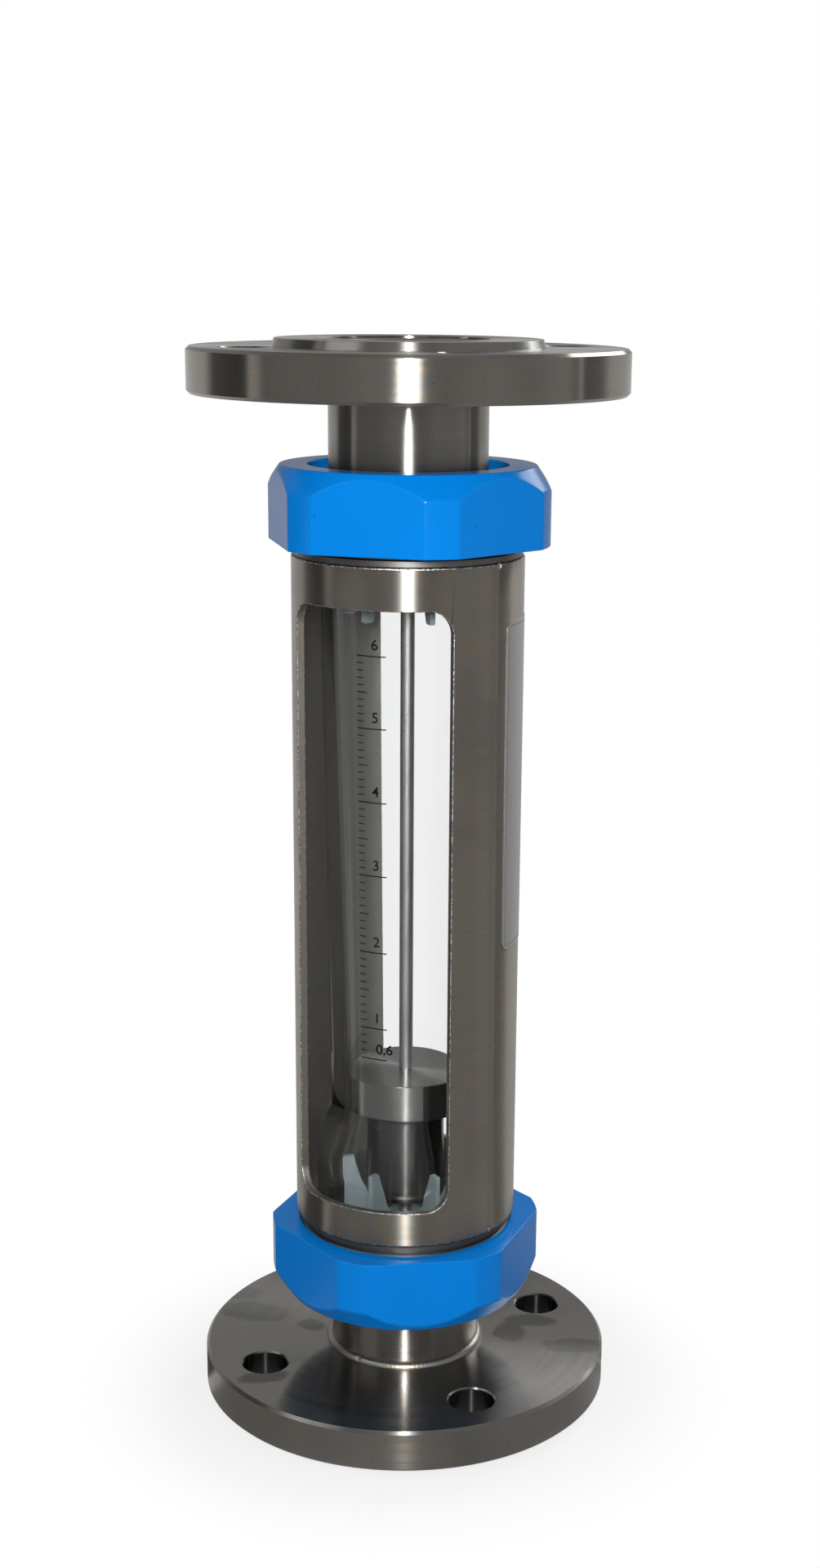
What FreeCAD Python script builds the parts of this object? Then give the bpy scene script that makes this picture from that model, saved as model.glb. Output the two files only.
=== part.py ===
import FreeCAD, Part
import math
import os
import re

import Sketcher

# A glass-tube flow meter between two pipe flanges, standing upright with the flow going up.
# Origin: centre of the lower sealing face. +Z is the flow direction, the reading window
# faces -Y. Everything is in millimetres, and angles are in degrees from +X.
# The lower and upper ends mirror each other about the middle, so every end piece is
# built by one function that is called once for each end.

SIZES = {
    # overall
    "overall_length": 425.0,
    "fit_gap": 0.1,
    # flanges, nominal bore 50
    "flange_diameter": 165.0,
    "rim_thickness": 17.0,
    "rim_chamfer": 1.2,
    "raised_face_height": 3.0,
    "raised_face_margin": 2.5,
    "raised_face_slope": 1.0,
    "bolt_edge_distance": 20.0,
    "bolt_hole_diameter": 18.0,
    "bolt_hole_chamfer": 0.7,
    "bolt_count": 4,
    "lower_flange_turn": 49.0,
    "upper_flange_turn": 42.0,
    # stub pipe and its collar, one turned piece
    "pipe_diameter": 60.3,
    "pipe_wall": 2.9,
    "pipe_inset": 3.5,
    "flange_clearance": 0.3,
    "collar_wall": 5.6,
    "collar_thickness": 10.0,
    "collar_chamfer": 0.8,
    "lower_seat_depth": 5.0,
    "upper_seat_depth": 2.5,
    # welds between flange and stub pipe
    "weld_leg": 2.7,
    "weld_bulge_radius": 2.6,
    # union nuts
    "nut_standoff": 25.7,
    "nut_height": 29.5,
    "nut_wall": 6.7,
    "nut_corner_rise": 4.4,
    "nut_chamfer_length": 8.7,
    "nut_chamfer_depth": 5.9,
    "nut_lip": 6.5,
    "nut_lip_overlap": 4.0,
    "nut_edge_chamfer": 0.5,
    "lower_nut_turn": 1.6,
    "upper_nut_turn": 37.0,
    # threaded rings that carry the casing
    "collar_clearance": 1.0,
    "thread_clearance": 0.3,
    "thread_lead_in": 1.0,
    "ring_groove_depth": 0.7,
    "ring_groove_width": 1.8,
    "ring_shoulder_rise": 3.8,
    "ring_shoulder_step": 0.75,
    "spigot_length": 10.0,
    "spigot_wall": 4.75,
    # casing tube and its windows
    "casing_wall": 3.0,
    "casing_edge_chamfer": 0.7,
    "lower_window_margin": 14.5,
    "upper_window_margin": 16.3,
    "window_corner": 9.0,
    "front_window_angle": 91.8,
    "rear_window_angle": 82.0,
    "front_window_turn": -89.6,
    "rear_window_turn": 90.0,
    # locating pins between casing and threaded rings
    "pin_diameter": 2.0,
    "pin_depth": 6.0,
    "pin_inset": 1.2,
    "pin_proud_gap": 0.15,
    "pin_turn": -17.0,
    # blank foil label
    "label_thickness": 0.15,
    "label_glue": 0.05,
    "label_upper_inset": 101.7,
    "label_length": 128.0,
    "label_angle": 53.8,
    "label_corner": 3.5,
    "label_turn": 17.1,
    # glass measuring tube
    "glass_wall": 6.4,
    "glass_top_wall": 3.9,
    "glass_end_bore": 59.2,
    "glass_neck_bore": 47.0,
    "glass_neck_length": 20.0,
    "glass_flare_length": 16.0,
    "glass_flare_shift": 4.5,
    "glass_top_length": 25.3,
    "glass_top_flare": 8.0,
    "glass_bend_radius": 28.0,
    "glass_shoulder_radius": 18.0,
    "glass_end_chamfer": 0.8,
    # seal rings round the glass ends
    "seal_cord": 4.4,
    # float stops
    "stop_rim_height": 3.0,
    "stop_ring_height": 9.0,
    "stop_ring_wall": 2.7,
    "stop_fin_count": 6,
    "stop_fin_thickness": 1.8,
    "stop_fin_gap": 4.3,
    "stop_fin_height": 43.3,
    "stop_tip_width": 4.3,
    "stop_tip_rounding": 0.8,
    "stop_cradle_height": 26.2,
    "stop_hub_diameter": 13.0,
    "stop_hub_start": 2.0,
    "stop_hub_height": 19.8,
    "lower_stop_turn": -37.0,
    "upper_stop_turn": -45.0,
    # guide rod with its nuts and washers
    "rod_diameter": 5.5,
    "rod_overhang": 1.5,
    "rod_chamfer": 0.5,
    "rod_nut_width": 9.0,
    "rod_nut_height": 4.0,
    "rod_washer_diameter": 11.0,
    "rod_washer_thickness": 1.0,
    # float
    "float_rest_rise": 2.4,
    "float_body_diameter": 31.4,
    "float_body_length": 35.0,
    "float_bottom_chamfer": 0.9,
    "float_bottom_bevel": 1.2,
    "float_shoulder_length": 3.8,
    "float_head_length": 14.6,
    "float_head_gap": 0.35,
    "float_edge_rounding": 0.3,
    "float_neck_rounding": 2.0,
    "float_underside_bevel": 2.2,
    "float_bore_clearance": 0.08,
}

# Sizes that follow from the ones above. Diameters grow outwards from the glass tube's bore,
# and heights grow inwards from the flanges.
FOLLOWING = {
    "bolt_circle_diameter": "flange_diameter - 2 * bolt_edge_distance",
    "raised_face_diameter": "bolt_circle_diameter - bolt_hole_diameter - 2 * raised_face_margin",
    "glass_end_diameter": "glass_end_bore + 2 * glass_wall",
    "glass_neck_diameter": "glass_neck_bore + 2 * glass_wall",
    "glass_top_diameter": "glass_end_bore + 2 * glass_top_wall",
    "recess_diameter": "glass_end_diameter + 8 * fit_gap",
    "collar_diameter": "recess_diameter + 2 * collar_wall",
    "thread_diameter": "collar_diameter + 2 * collar_clearance",
    "ring_groove_diameter": "thread_diameter - 2 * ring_groove_depth",
    "ring_bore_diameter": "glass_end_diameter + 12 * fit_gap",
    "spigot_diameter": "ring_bore_diameter + 2 * spigot_wall",
    "casing_bore_diameter": "spigot_diameter + 2 * fit_gap",
    "casing_diameter": "casing_bore_diameter + 2 * casing_wall",
    "ring_shoulder_diameter": "casing_diameter - 2 * ring_shoulder_step",
    "nut_bore_diameter": "thread_diameter + 2 * thread_clearance",
    "nut_across_flats": "nut_bore_diameter + 2 * nut_wall",
    "nut_corner_diameter": "nut_across_flats + 2 * nut_corner_rise",
    "nut_hole_diameter": "collar_diameter - 2 * nut_lip_overlap",
    "flange_back": "raised_face_height + rim_thickness",
    "nut_inset": "flange_back + nut_standoff",
    "collar_start": "nut_inset + nut_lip",
    "collar_finish": "collar_start + collar_thickness",
    "lower_seat": "collar_finish - lower_seat_depth",
    "upper_seat": "collar_finish - upper_seat_depth",
    "casing_inset": "nut_inset + nut_height + ring_shoulder_rise",
    "pin_height": "casing_inset + pin_inset",
    "label_high": "overall_length - label_upper_inset",
    "label_low": "label_high - label_length",
    "stop_ring_diameter": "glass_end_bore - 10 * fit_gap",
    "stop_ring_bore": "stop_ring_diameter - 2 * stop_ring_wall",
    "stop_fin_radius": "glass_end_bore / 2 - stop_fin_gap",
    "stop_cradle_radius": "float_body_diameter / 2 - float_bottom_chamfer",
    "float_bottom": "lower_seat + stop_cradle_height + float_rest_rise",
    "float_neck_height": "float_bottom + float_body_length",
    "float_head_low": "float_neck_height + float_shoulder_length",
    "float_head_top": "float_head_low + float_head_length",
    "float_head_diameter": "glass_neck_bore - 2 * float_head_gap",
    "glass_low": "lower_seat + stop_rim_height",
    "glass_high": "overall_length - upper_seat - stop_rim_height",
    "cone_start_height": "float_head_top",
    "cone_end_height": "overall_length - upper_seat - glass_top_length",
    "glass_neck_height": "cone_start_height - glass_neck_length",
    "glass_flare_height": "glass_neck_height - glass_flare_length",
}

SHEET = "Sizes"

# how closely a measured edge has to match a size
NEAR = 1e-4

# points along each rounded corner of a window
CORNER_STEPS = 6


def bound(expression):
    """The expression with each size name pointing at the sheet, and what follows written out."""

    def written_out(match):
        name = match.group(0)
        return f"({bound(FOLLOWING[name])})" if name in FOLLOWING else f"{SHEET}.{name}"

    return re.sub(r"[a-z]+(?:_[a-z]+)+", written_out, expression)


def make_sheet(doc):
    """One row per size: its name, and the value under an alias of the same name."""
    sheet = doc.addObject("Spreadsheet::Sheet", SHEET)
    for row, (name, value) in enumerate(SIZES.items(), start=1):
        sheet.set(f"A{row}", name.replace("_", " "))
        sheet.set(f"B{row}", str(value))
        sheet.setAlias(f"B{row}", name)
    doc.recompute()
    return sheet


def value_of(doc, expression):
    """The number that an expression of sizes gives."""
    return float(doc.getObject(SHEET).evalExpression(bound(expression)))


class End:
    """One end of the meter. Heights are given from its own sealing face inwards."""

    def __init__(self, name):
        self.name = name
        self.is_upper = name == "upper"
        self.seat = f"{name}_seat"

    def label(self, piece):
        return f"{self.name}_{piece}"

    def size(self, name):
        """A size that each end has for itself."""
        return f"{self.name}_{name}"

    def height(self, expression):
        return f"overall_length - ({expression})" if self.is_upper else expression

    def outline(self, points):
        return [(radius, self.height(inset)) for radius, inset in points]

    def low(self, near, far):
        """The lower of two insets, as a height."""
        return self.height(far if self.is_upper else near)


def new_body(doc, label, turn=None):
    body = doc.addObject("PartDesign::Body", label)
    body.Label = label
    if turn is not None:
        turn_about_axis(body, turn)
    return body


def turn_about_axis(piece, turn, height=None):
    """Binds the piece's turn about the meter's axis, and its height, to the sheet."""
    piece.Placement = FreeCAD.Placement(FreeCAD.Vector(), FreeCAD.Rotation(FreeCAD.Vector(0, 0, 1), 1))
    piece.setExpression("Placement.Rotation.Angle", bound(turn))
    if height is not None:
        piece.setExpression("Placement.Base.z", bound(height))


def new_sketch(body, name, role):
    """A sketch on one of the body's own origin planes."""
    sketch = body.newObject("Sketcher::SketchObject", f"{body.Name}_{name}")
    plane = next(feature for feature in body.Origin.OriginFeatures if feature.Role == role)
    sketch.AttachmentSupport = [(plane, "")]
    sketch.MapMode = "FlatFace"
    return sketch


def bind_constraint(sketch, kind, references, expression):
    doc = sketch.Document
    index = sketch.addConstraint(Sketcher.Constraint(kind, *references, value_of(doc, expression)))
    sketch.setExpression(f"Constraints[{index}]", bound(expression))


def bind_point(sketch, edge, corner, across, up):
    """Ties one end of an edge to its two coordinates. "0" puts it on the axis."""
    for kind, axis, expression in (("DistanceX", -2, across), ("DistanceY", -1, up)):
        if expression == "0":
            sketch.addConstraint(Sketcher.Constraint("PointOnObject", edge, corner, axis))
        else:
            bind_constraint(sketch, kind, (-1, 1, edge, corner), expression)


def draw_outline(sketch, points):
    """A closed outline of straight edges, each corner tied to its two expressions."""
    doc = sketch.Document
    corners = [FreeCAD.Vector(value_of(doc, across), value_of(doc, up), 0) for across, up in points]
    following = corners[1:] + corners[:1]
    edges = [sketch.addGeometry(Part.LineSegment(a, b)) for a, b in zip(corners, following)]
    for edge, after in zip(edges, edges[1:] + edges[:1]):
        sketch.addConstraint(Sketcher.Constraint("Coincident", edge, 2, after, 1))
    for edge, (across, up) in zip(edges, points):
        bind_point(sketch, edge, 1, across, up)


def draw_circle(sketch, across, up, diameter):
    doc = sketch.Document
    centre = FreeCAD.Vector(value_of(doc, across), value_of(doc, up), 0)
    radius = value_of(doc, diameter) / 2
    circle = sketch.addGeometry(Part.Circle(centre, FreeCAD.Vector(0, 0, 1), radius))
    bind_point(sketch, circle, 3, across, up)
    bind_constraint(sketch, "Diameter", (circle,), diameter)


def revolve(body, sketch, name="turning"):
    turning = body.newObject("PartDesign::Revolution", f"{body.Name}_{name}")
    turning.Profile = sketch
    turning.ReferenceAxis = (sketch, ["V_Axis"])
    turning.Angle = 360.0
    sketch.Visibility = False
    return turning


def turned_body(doc, label, points, turn=None):
    """A lathe piece: its half section, turned about the meter's axis."""
    body = new_body(doc, label, turn)
    sketch = new_sketch(body, "section", "XZ_Plane")
    draw_outline(sketch, points)
    revolve(body, sketch)
    return body


def pocket_through(body, sketch, name):
    """Cuts the sketch through everything on the side its normal points to."""
    doc = body.Document
    doc.recompute()
    before = body.Shape.Volume
    pocket = body.newObject("PartDesign::Pocket", f"{body.Name}_{name}")
    pocket.Profile = sketch
    pocket.Type = "ThroughAll"
    pocket.Reversed = True
    doc.recompute()
    if body.Shape.Volume >= before:
        raise RuntimeError(f"{pocket.Name} removes nothing")
    return pocket


def pattern_about_axis(body, feature, sketch, count):
    """Repeats a feature evenly about the sketch's normal through the origin."""
    pattern = body.newObject("PartDesign::PolarPattern", f"{feature.Name}_pattern")
    pattern.Originals = [feature]
    pattern.Axis = (sketch, ["N_Axis"])
    pattern.Angle = 360.0
    pattern.setExpression("Occurrences", bound(count))
    body.Tip = pattern
    return pattern


def edges_where(shape, test):
    return [f"Edge{index}" for index, edge in enumerate(shape.Edges, start=1) if test(edge)]


def is_ring(edge, radius=None, height=None):
    """True for a circular edge of this radius, or at this height."""
    curve = edge.Curve
    if not isinstance(curve, Part.Circle):
        return False
    right_size = radius is None or abs(curve.Radius - radius) < NEAR
    return right_size and (height is None or abs(curve.Center.z - height) < NEAR)


def dress_edges(body, kind, test, size):
    """A Fillet or Chamfer on the edges that pass the test, bound to one size."""
    body.Document.recompute()
    base = body.Tip
    names = edges_where(base.Shape, test)
    if not names:
        raise RuntimeError(f"{body.Label}: no edges to dress")
    dress = body.newObject(f"PartDesign::{kind}", f"{body.Name}_{kind.lower()}")
    dress.Base = (base, names)
    dress.setExpression("Radius" if kind == "Fillet" else "Size", bound(size))
    body.Tip = dress
    return dress


def hexagon_bar(doc, name, across_flats, height):
    """Six-sided bar with a corner on +X."""
    bar = doc.addObject("Part::Prism", name)
    bar.Polygon = 6
    bar.setExpression("Circumradius", bound(f"{across_flats} / 2 / cos(30)"))
    bar.setExpression("Height", bound(height))
    return bar


# Flanges and their welds


def build_flange(doc, end):
    """Plate flange with a raised sealing face, edge chamfers and bolt holes."""
    face_radius = "raised_face_diameter / 2"
    rim_radius = "flange_diameter / 2"
    bore_radius = "pipe_diameter / 2 + flange_clearance"
    section = end.outline([
        (bore_radius, "0 * overall_length"),
        (f"{face_radius} - raised_face_slope", "0 * overall_length"),
        (face_radius, "raised_face_height"),
        (f"{rim_radius} - rim_chamfer", "raised_face_height"),
        (rim_radius, "raised_face_height + rim_chamfer"),
        (rim_radius, "flange_back - rim_chamfer"),
        (f"{rim_radius} - rim_chamfer", "flange_back"),
        (bore_radius, "flange_back"),
    ])
    body = turned_body(doc, end.label("flange"), section, end.size("flange_turn"))
    holes = new_sketch(body, "holes", "XY_Plane")
    draw_circle(holes, "bolt_circle_diameter / 2", "0", "bolt_hole_diameter")
    pocket = pocket_through(body, holes, "bolt_hole")
    pattern_about_axis(body, pocket, holes, "bolt_count")
    hole_radius = value_of(doc, "bolt_hole_diameter / 2")
    dress_edges(body, "Chamfer", lambda edge: is_ring(edge, hole_radius), "bolt_hole_chamfer")
    return body


def build_weld(doc, end, piece, corner_radius, corner_inset, sign):
    """Ring of weld metal with a rounded face, in the corner between pipe and flange.

    With the sign + both legs run away from the corner outwards and towards the middle
    of the meter, and with - inwards and towards the sealing face.
    """
    body = new_body(doc, end.label(piece))
    sketch = new_sketch(body, "section", "XZ_Plane")
    points = end.outline([
        (corner_radius, corner_inset),
        (f"{corner_radius} {sign} weld_leg", corner_inset),
        (corner_radius, f"{corner_inset} {sign} weld_leg"),
    ])
    corner, first, last = [FreeCAD.Vector(value_of(doc, a), value_of(doc, b), 0) for a, b in points]
    if (first - corner).cross(last - corner).z < 0:
        first, last = last, first
        points[1], points[2] = points[2], points[1]
    middle = (first + last) * 0.5
    outwards = (middle - corner).normalize()
    half_chord = (last - first).Length / 2
    radius = value_of(doc, "weld_bulge_radius")
    crown = middle + outwards * (radius - math.sqrt(radius ** 2 - half_chord ** 2))
    leg = sketch.addGeometry(Part.LineSegment(corner, first))
    bulge = sketch.addGeometry(Part.Arc(first, crown, last))
    other_leg = sketch.addGeometry(Part.LineSegment(last, corner))
    sketch.addConstraint(Sketcher.Constraint("Coincident", leg, 2, bulge, 1))
    sketch.addConstraint(Sketcher.Constraint("Coincident", bulge, 2, other_leg, 1))
    sketch.addConstraint(Sketcher.Constraint("Coincident", other_leg, 2, leg, 1))
    bind_point(sketch, leg, 1, *points[0])
    bind_point(sketch, leg, 2, *points[1])
    bind_point(sketch, other_leg, 1, *points[2])
    bind_constraint(sketch, "Radius", (bulge,), "weld_bulge_radius")
    revolve(body, sketch)
    return body


def build_back_weld(doc, end):
    """The bead that shows round the pipe on the flange's back."""
    return build_weld(doc, end, "back_weld", "pipe_diameter / 2", "flange_back", "+")


def build_face_weld(doc, end):
    """The bead over the pipe's end, inside the sealing face."""
    bore = "pipe_diameter / 2 + flange_clearance"
    return build_weld(doc, end, "face_weld", bore, "pipe_inset", "-")


# Stub pipe with its collar


def build_stub(doc, end):
    """Pipe whose inner end widens into the collar that the union nut pulls on.

    The collar's recess seats the float stop and the end of the glass tube.
    """
    outer = "pipe_diameter / 2"
    bore = "pipe_diameter / 2 - pipe_wall"
    collar = "collar_diameter / 2"
    section = end.outline([
        (bore, "pipe_inset"),
        (outer, "pipe_inset"),
        (outer, "collar_start"),
        (f"{collar} - collar_chamfer", "collar_start"),
        (collar, "collar_start + collar_chamfer"),
        (collar, "collar_finish"),
        ("recess_diameter / 2", "collar_finish"),
        ("recess_diameter / 2", end.seat),
        (bore, end.seat),
    ])
    return turned_body(doc, end.label("stub_pipe"), section)


# Union nuts


def build_union_nut(doc, end):
    """Hexagon nut turned round at its corners, with a long cone towards the flange.

    Its inner lip pulls the stub pipe's collar onto the threaded ring. Its turn is that of
    a flat, half a facet on from a corner.
    """
    label = end.label("union_nut")
    corner = "nut_corner_diameter / 2"
    thread = "nut_bore_diameter / 2"
    hole = "nut_hole_diameter / 2"
    near = "nut_inset"
    far = "nut_inset + nut_height"
    blank = turned_body(doc, f"{label}_blank", end.outline([
        (hole, near),
        (f"{corner} - nut_chamfer_depth", near),
        (corner, f"{near} + nut_chamfer_length"),
        (corner, f"{far} - nut_edge_chamfer"),
        (f"{corner} - 2 * nut_edge_chamfer", far),
        (thread, far),
        (thread, f"{near} + nut_lip"),
        (hole, f"{near} + nut_lip"),
    ]))
    hexagon = hexagon_bar(doc, f"{label}_hexagon", "nut_across_flats", "nut_height")
    half_facet = "180 / 6"
    turn_about_axis(hexagon, f"{end.size('nut_turn')} + {half_facet}", end.low(near, far))
    nut = doc.addObject("Part::Common", label)
    nut.Label = label
    nut.Base = blank
    nut.Tool = hexagon
    return nut


# Threaded rings, seals and locating pins


def build_thread_ring(doc, end):
    """Ring with the nut's male thread, a relief groove, a shoulder and a spigot.

    The casing sits on the shoulder round the spigot, and the recess at the other end
    holds the seal round the glass. A cross hole takes the locating pin.
    """
    thread = "thread_diameter / 2"
    groove = "ring_groove_diameter / 2"
    shoulder = "ring_shoulder_diameter / 2"
    spigot = "spigot_diameter / 2"
    bore = "ring_bore_diameter / 2"
    seal = "glass_end_diameter / 2 + seal_cord + 2 * fit_gap"
    start = "collar_finish"
    groove_start = "nut_inset + nut_height - 0.5 * ring_groove_width"
    section = end.outline([
        (seal, start),
        (f"{thread} - thread_lead_in", start),
        (thread, f"{start} + thread_lead_in"),
        (thread, groove_start),
        (groove, f"{groove_start} + 0.4 * ring_groove_width"),
        (groove, f"{groove_start} + 1.2 * ring_groove_width"),
        (shoulder, f"{groove_start} + 1.5 * ring_groove_width"),
        (shoulder, "casing_inset"),
        (spigot, "casing_inset"),
        (spigot, "casing_inset + spigot_length"),
        (bore, "casing_inset + spigot_length"),
        (bore, f"{start} + seal_cord"),
        (seal, f"{start} + seal_cord"),
    ])
    body = turned_body(doc, end.label("thread_ring"), section, "pin_turn")
    cross = new_sketch(body, "pin_hole", "YZ_Plane")
    draw_circle(cross, "0", end.height("pin_height"), "pin_diameter + fit_gap")
    pocket_through(body, cross, "pin_cut")
    return body


def build_seal_ring(doc, end):
    """Round-cord seal between glass, collar and threaded ring."""
    label = end.label("seal_ring")
    seal = doc.addObject("Part::Torus", label)
    seal.Label = label
    seal.setExpression("Radius1", bound("glass_end_diameter / 2 + seal_cord / 2 + fit_gap"))
    seal.setExpression("Radius2", bound("seal_cord / 2"))
    centre = end.height("collar_finish + seal_cord / 2")
    seal.setExpression("Placement.Base.z", bound(centre))
    return seal


def build_locating_pin(doc, end):
    """Small cross pin that keys the casing to the threaded ring."""
    label = end.label("locating_pin")
    pin = doc.addObject("Part::Cylinder", label)
    pin.Label = label
    pin.setExpression("Radius", bound("pin_diameter / 2"))
    pin.setExpression("Height", bound("pin_depth"))
    reach = "casing_diameter / 2 - pin_proud_gap - pin_depth"
    quarter_turn = FreeCAD.Rotation(FreeCAD.Vector(0, 1, 0), 90)
    turn = FreeCAD.Rotation(FreeCAD.Vector(0, 0, 1), value_of(doc, "pin_turn"))
    pin.Placement = FreeCAD.Placement(FreeCAD.Vector(), turn * quarter_turn)
    pin.setExpression("Placement.Base.x", bound(f"({reach}) * cos(pin_turn)"))
    pin.setExpression("Placement.Base.y", bound(f"({reach}) * sin(pin_turn)"))
    pin.setExpression("Placement.Base.z", bound(end.height("pin_height")))
    return pin


# Casing and label


def window_section(distance, half_angle, low, high, corner, radius):
    """Closed wire in the plane x = distance of a window whose walls run to the axis.

    An angle a lies at y = distance * tan(a). A corner goes a quarter turn t round, at the
    angle half - c + c * sin(t) and the height end - corner + corner * cos(t), so on the
    cylinder of the given radius it is a round corner.
    """
    turn = corner / radius
    steps = [math.pi / 2 * step / CORNER_STEPS for step in range(CORNER_STEPS + 1)]

    def point(angle, height):
        return FreeCAD.Vector(distance, distance * math.tan(angle), height)

    def corner_points(side, upwards):
        edge_height = high if upwards > 0 else low
        return [
            point(side * (half_angle - turn + turn * math.sin(t)),
                  edge_height - upwards * corner * (1 - math.cos(t)))
            for t in steps
        ]

    runs = [
        corner_points(1, 1),
        corner_points(1, -1)[::-1],
        corner_points(-1, -1),
        corner_points(-1, 1)[::-1],
    ]
    edges = []
    for run, after in zip(runs, runs[1:] + runs[:1]):
        curve = Part.BSplineCurve()
        curve.interpolate(run)
        edges.append(curve.toShape())
        edges.append(Part.makeLine(run[-1], after[0]))
    return Part.Wire(edges)


def window_block(doc, name, angle, turn, low, high, corner):
    """Solid block with walls through the axis, for a window or a curved plate."""
    radius = value_of(doc, "casing_diameter / 2")
    wall = value_of(doc, "casing_wall")
    half_angle = math.radians(value_of(doc, angle)) / 2
    near = (radius - 2 * wall) * math.cos(half_angle)
    far = radius + 2 * wall
    heights = [value_of(doc, low), value_of(doc, high)]
    rounding = value_of(doc, corner)
    sections = [window_section(x, half_angle, *heights, rounding, radius) for x in (near, far)]
    block = doc.addObject("Part::Feature", name)
    block.Shape = Part.makeLoft(sections, True, True)
    block.Placement = FreeCAD.Placement(
        FreeCAD.Vector(), FreeCAD.Rotation(FreeCAD.Vector(0, 0, 1), value_of(doc, turn)))
    return block


def pin_slot(doc, end):
    """Round-ended slot across the casing's end, where the locating pin shows."""
    radius = value_of(doc, "pin_diameter / 2 + fit_gap")
    middle = value_of(doc, "pin_height")
    length = value_of(doc, "casing_wall * 2")
    reach = value_of(doc, "casing_diameter / 2 - casing_wall * 1.5")
    mouth = Part.makeBox(length, 2 * radius, 2 * radius + middle, FreeCAD.Vector(reach, -radius, -2 * radius))
    round_end = Part.makeCylinder(radius, length, FreeCAD.Vector(reach, 0, middle), FreeCAD.Vector(1, 0, 0))
    shape = mouth.fuse(round_end)
    if end.is_upper:
        shape = shape.mirror(FreeCAD.Vector(0, 0, value_of(doc, "overall_length / 2")), FreeCAD.Vector(0, 0, 1))
    slot = doc.addObject("Part::Feature", end.label("pin_slot"))
    slot.Shape = shape
    slot.Placement = FreeCAD.Placement(
        FreeCAD.Vector(), FreeCAD.Rotation(FreeCAD.Vector(0, 0, 1), value_of(doc, "pin_turn")))
    return slot


def build_casing(doc, ends):
    """Protective tube with a reading window in front and a light window behind."""
    outer = "casing_diameter / 2"
    inner = "casing_bore_diameter / 2"
    low = "casing_inset"
    high = "overall_length - casing_inset"
    tube = turned_body(doc, "casing_tube", [
        (inner, low),
        (f"{outer} - casing_edge_chamfer", low),
        (outer, f"{low} + casing_edge_chamfer"),
        (outer, f"{high} - casing_edge_chamfer"),
        (f"{outer} - casing_edge_chamfer", high),
        (inner, high),
    ])
    window_heights = ("casing_inset + lower_window_margin", f"{high} - upper_window_margin")
    cutters = [
        window_block(doc, "front_window", "front_window_angle", "front_window_turn",
                     *window_heights, "window_corner"),
        window_block(doc, "rear_window", "rear_window_angle", "rear_window_turn",
                     *window_heights, "window_corner"),
    ]
    cutters += [pin_slot(doc, end) for end in ends]
    tool = doc.addObject("Part::MultiFuse", "casing_cuts")
    tool.Shapes = cutters
    casing = doc.addObject("Part::Cut", "casing")
    casing.Label = "casing"
    casing.Base = tube
    casing.Tool = tool
    return casing


def build_label(doc):
    """Thin foil label bent round the casing's side, with rounded corners."""
    inner = "casing_diameter / 2 + label_glue"
    shell = turned_body(doc, "label_shell", [
        (inner, "label_low - casing_wall"),
        (f"{inner} + label_thickness", "label_low - casing_wall"),
        (f"{inner} + label_thickness", "label_high + casing_wall"),
        (inner, "label_high + casing_wall"),
    ])
    block = window_block(doc, "label_block", "label_angle", "label_turn",
                         "label_low", "label_high", "label_corner")
    label = doc.addObject("Part::Common", "blank_label")
    label.Label = "blank_label"
    label.Base = shell
    label.Tool = block
    return label


# Glass measuring tube


def round_bends(body, bends, radius):
    """Rounds the turned corners at these radii and heights."""
    doc = body.Document
    rings = [(value_of(doc, across), value_of(doc, height)) for across, height in bends]
    dress_edges(body, "Fillet", lambda edge: any(is_ring(edge, *ring) for ring in rings), radius)


def build_glass(doc):
    """Measuring tube: a long inner cone that widens upwards, and flared seal ends.

    The neck at the cone's foot lets the resting float nearly close the flow.
    """
    end_outer = "glass_end_diameter / 2"
    end_bore = "glass_end_bore / 2"
    neck_outer = "glass_neck_diameter / 2"
    neck_bore = "glass_neck_bore / 2"
    top_outer = "glass_top_diameter / 2"
    low = "glass_low"
    high = "glass_high"
    outer_neck = "glass_neck_height + glass_flare_shift"
    outer_flare = "glass_flare_height + glass_flare_shift"
    body = turned_body(doc, "glass_tube", [
        (end_bore, low),
        (f"{end_outer} - glass_end_chamfer", low),
        (end_outer, f"{low} + glass_end_chamfer"),
        (end_outer, outer_flare),
        (neck_outer, outer_neck),
        (top_outer, "cone_end_height"),
        (end_outer, "cone_end_height + glass_top_flare"),
        (end_outer, f"{high} - glass_end_chamfer"),
        (f"{end_outer} - glass_end_chamfer", high),
        (end_bore, high),
        (end_bore, "cone_end_height"),
        (neck_bore, "cone_start_height"),
        (neck_bore, "glass_neck_height"),
        (end_bore, "glass_flare_height"),
    ])
    neck_bends = [
        (end_outer, outer_flare),
        (neck_outer, outer_neck),
        (neck_bore, "glass_neck_height"),
        (end_bore, "glass_flare_height"),
    ]
    shoulder_bends = [
        (top_outer, "cone_end_height"),
        (end_outer, "cone_end_height + glass_top_flare"),
    ]
    round_bends(body, neck_bends, "glass_bend_radius")
    round_bends(body, shoulder_bends, "glass_shoulder_radius")
    return body


# Float stops


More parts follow.
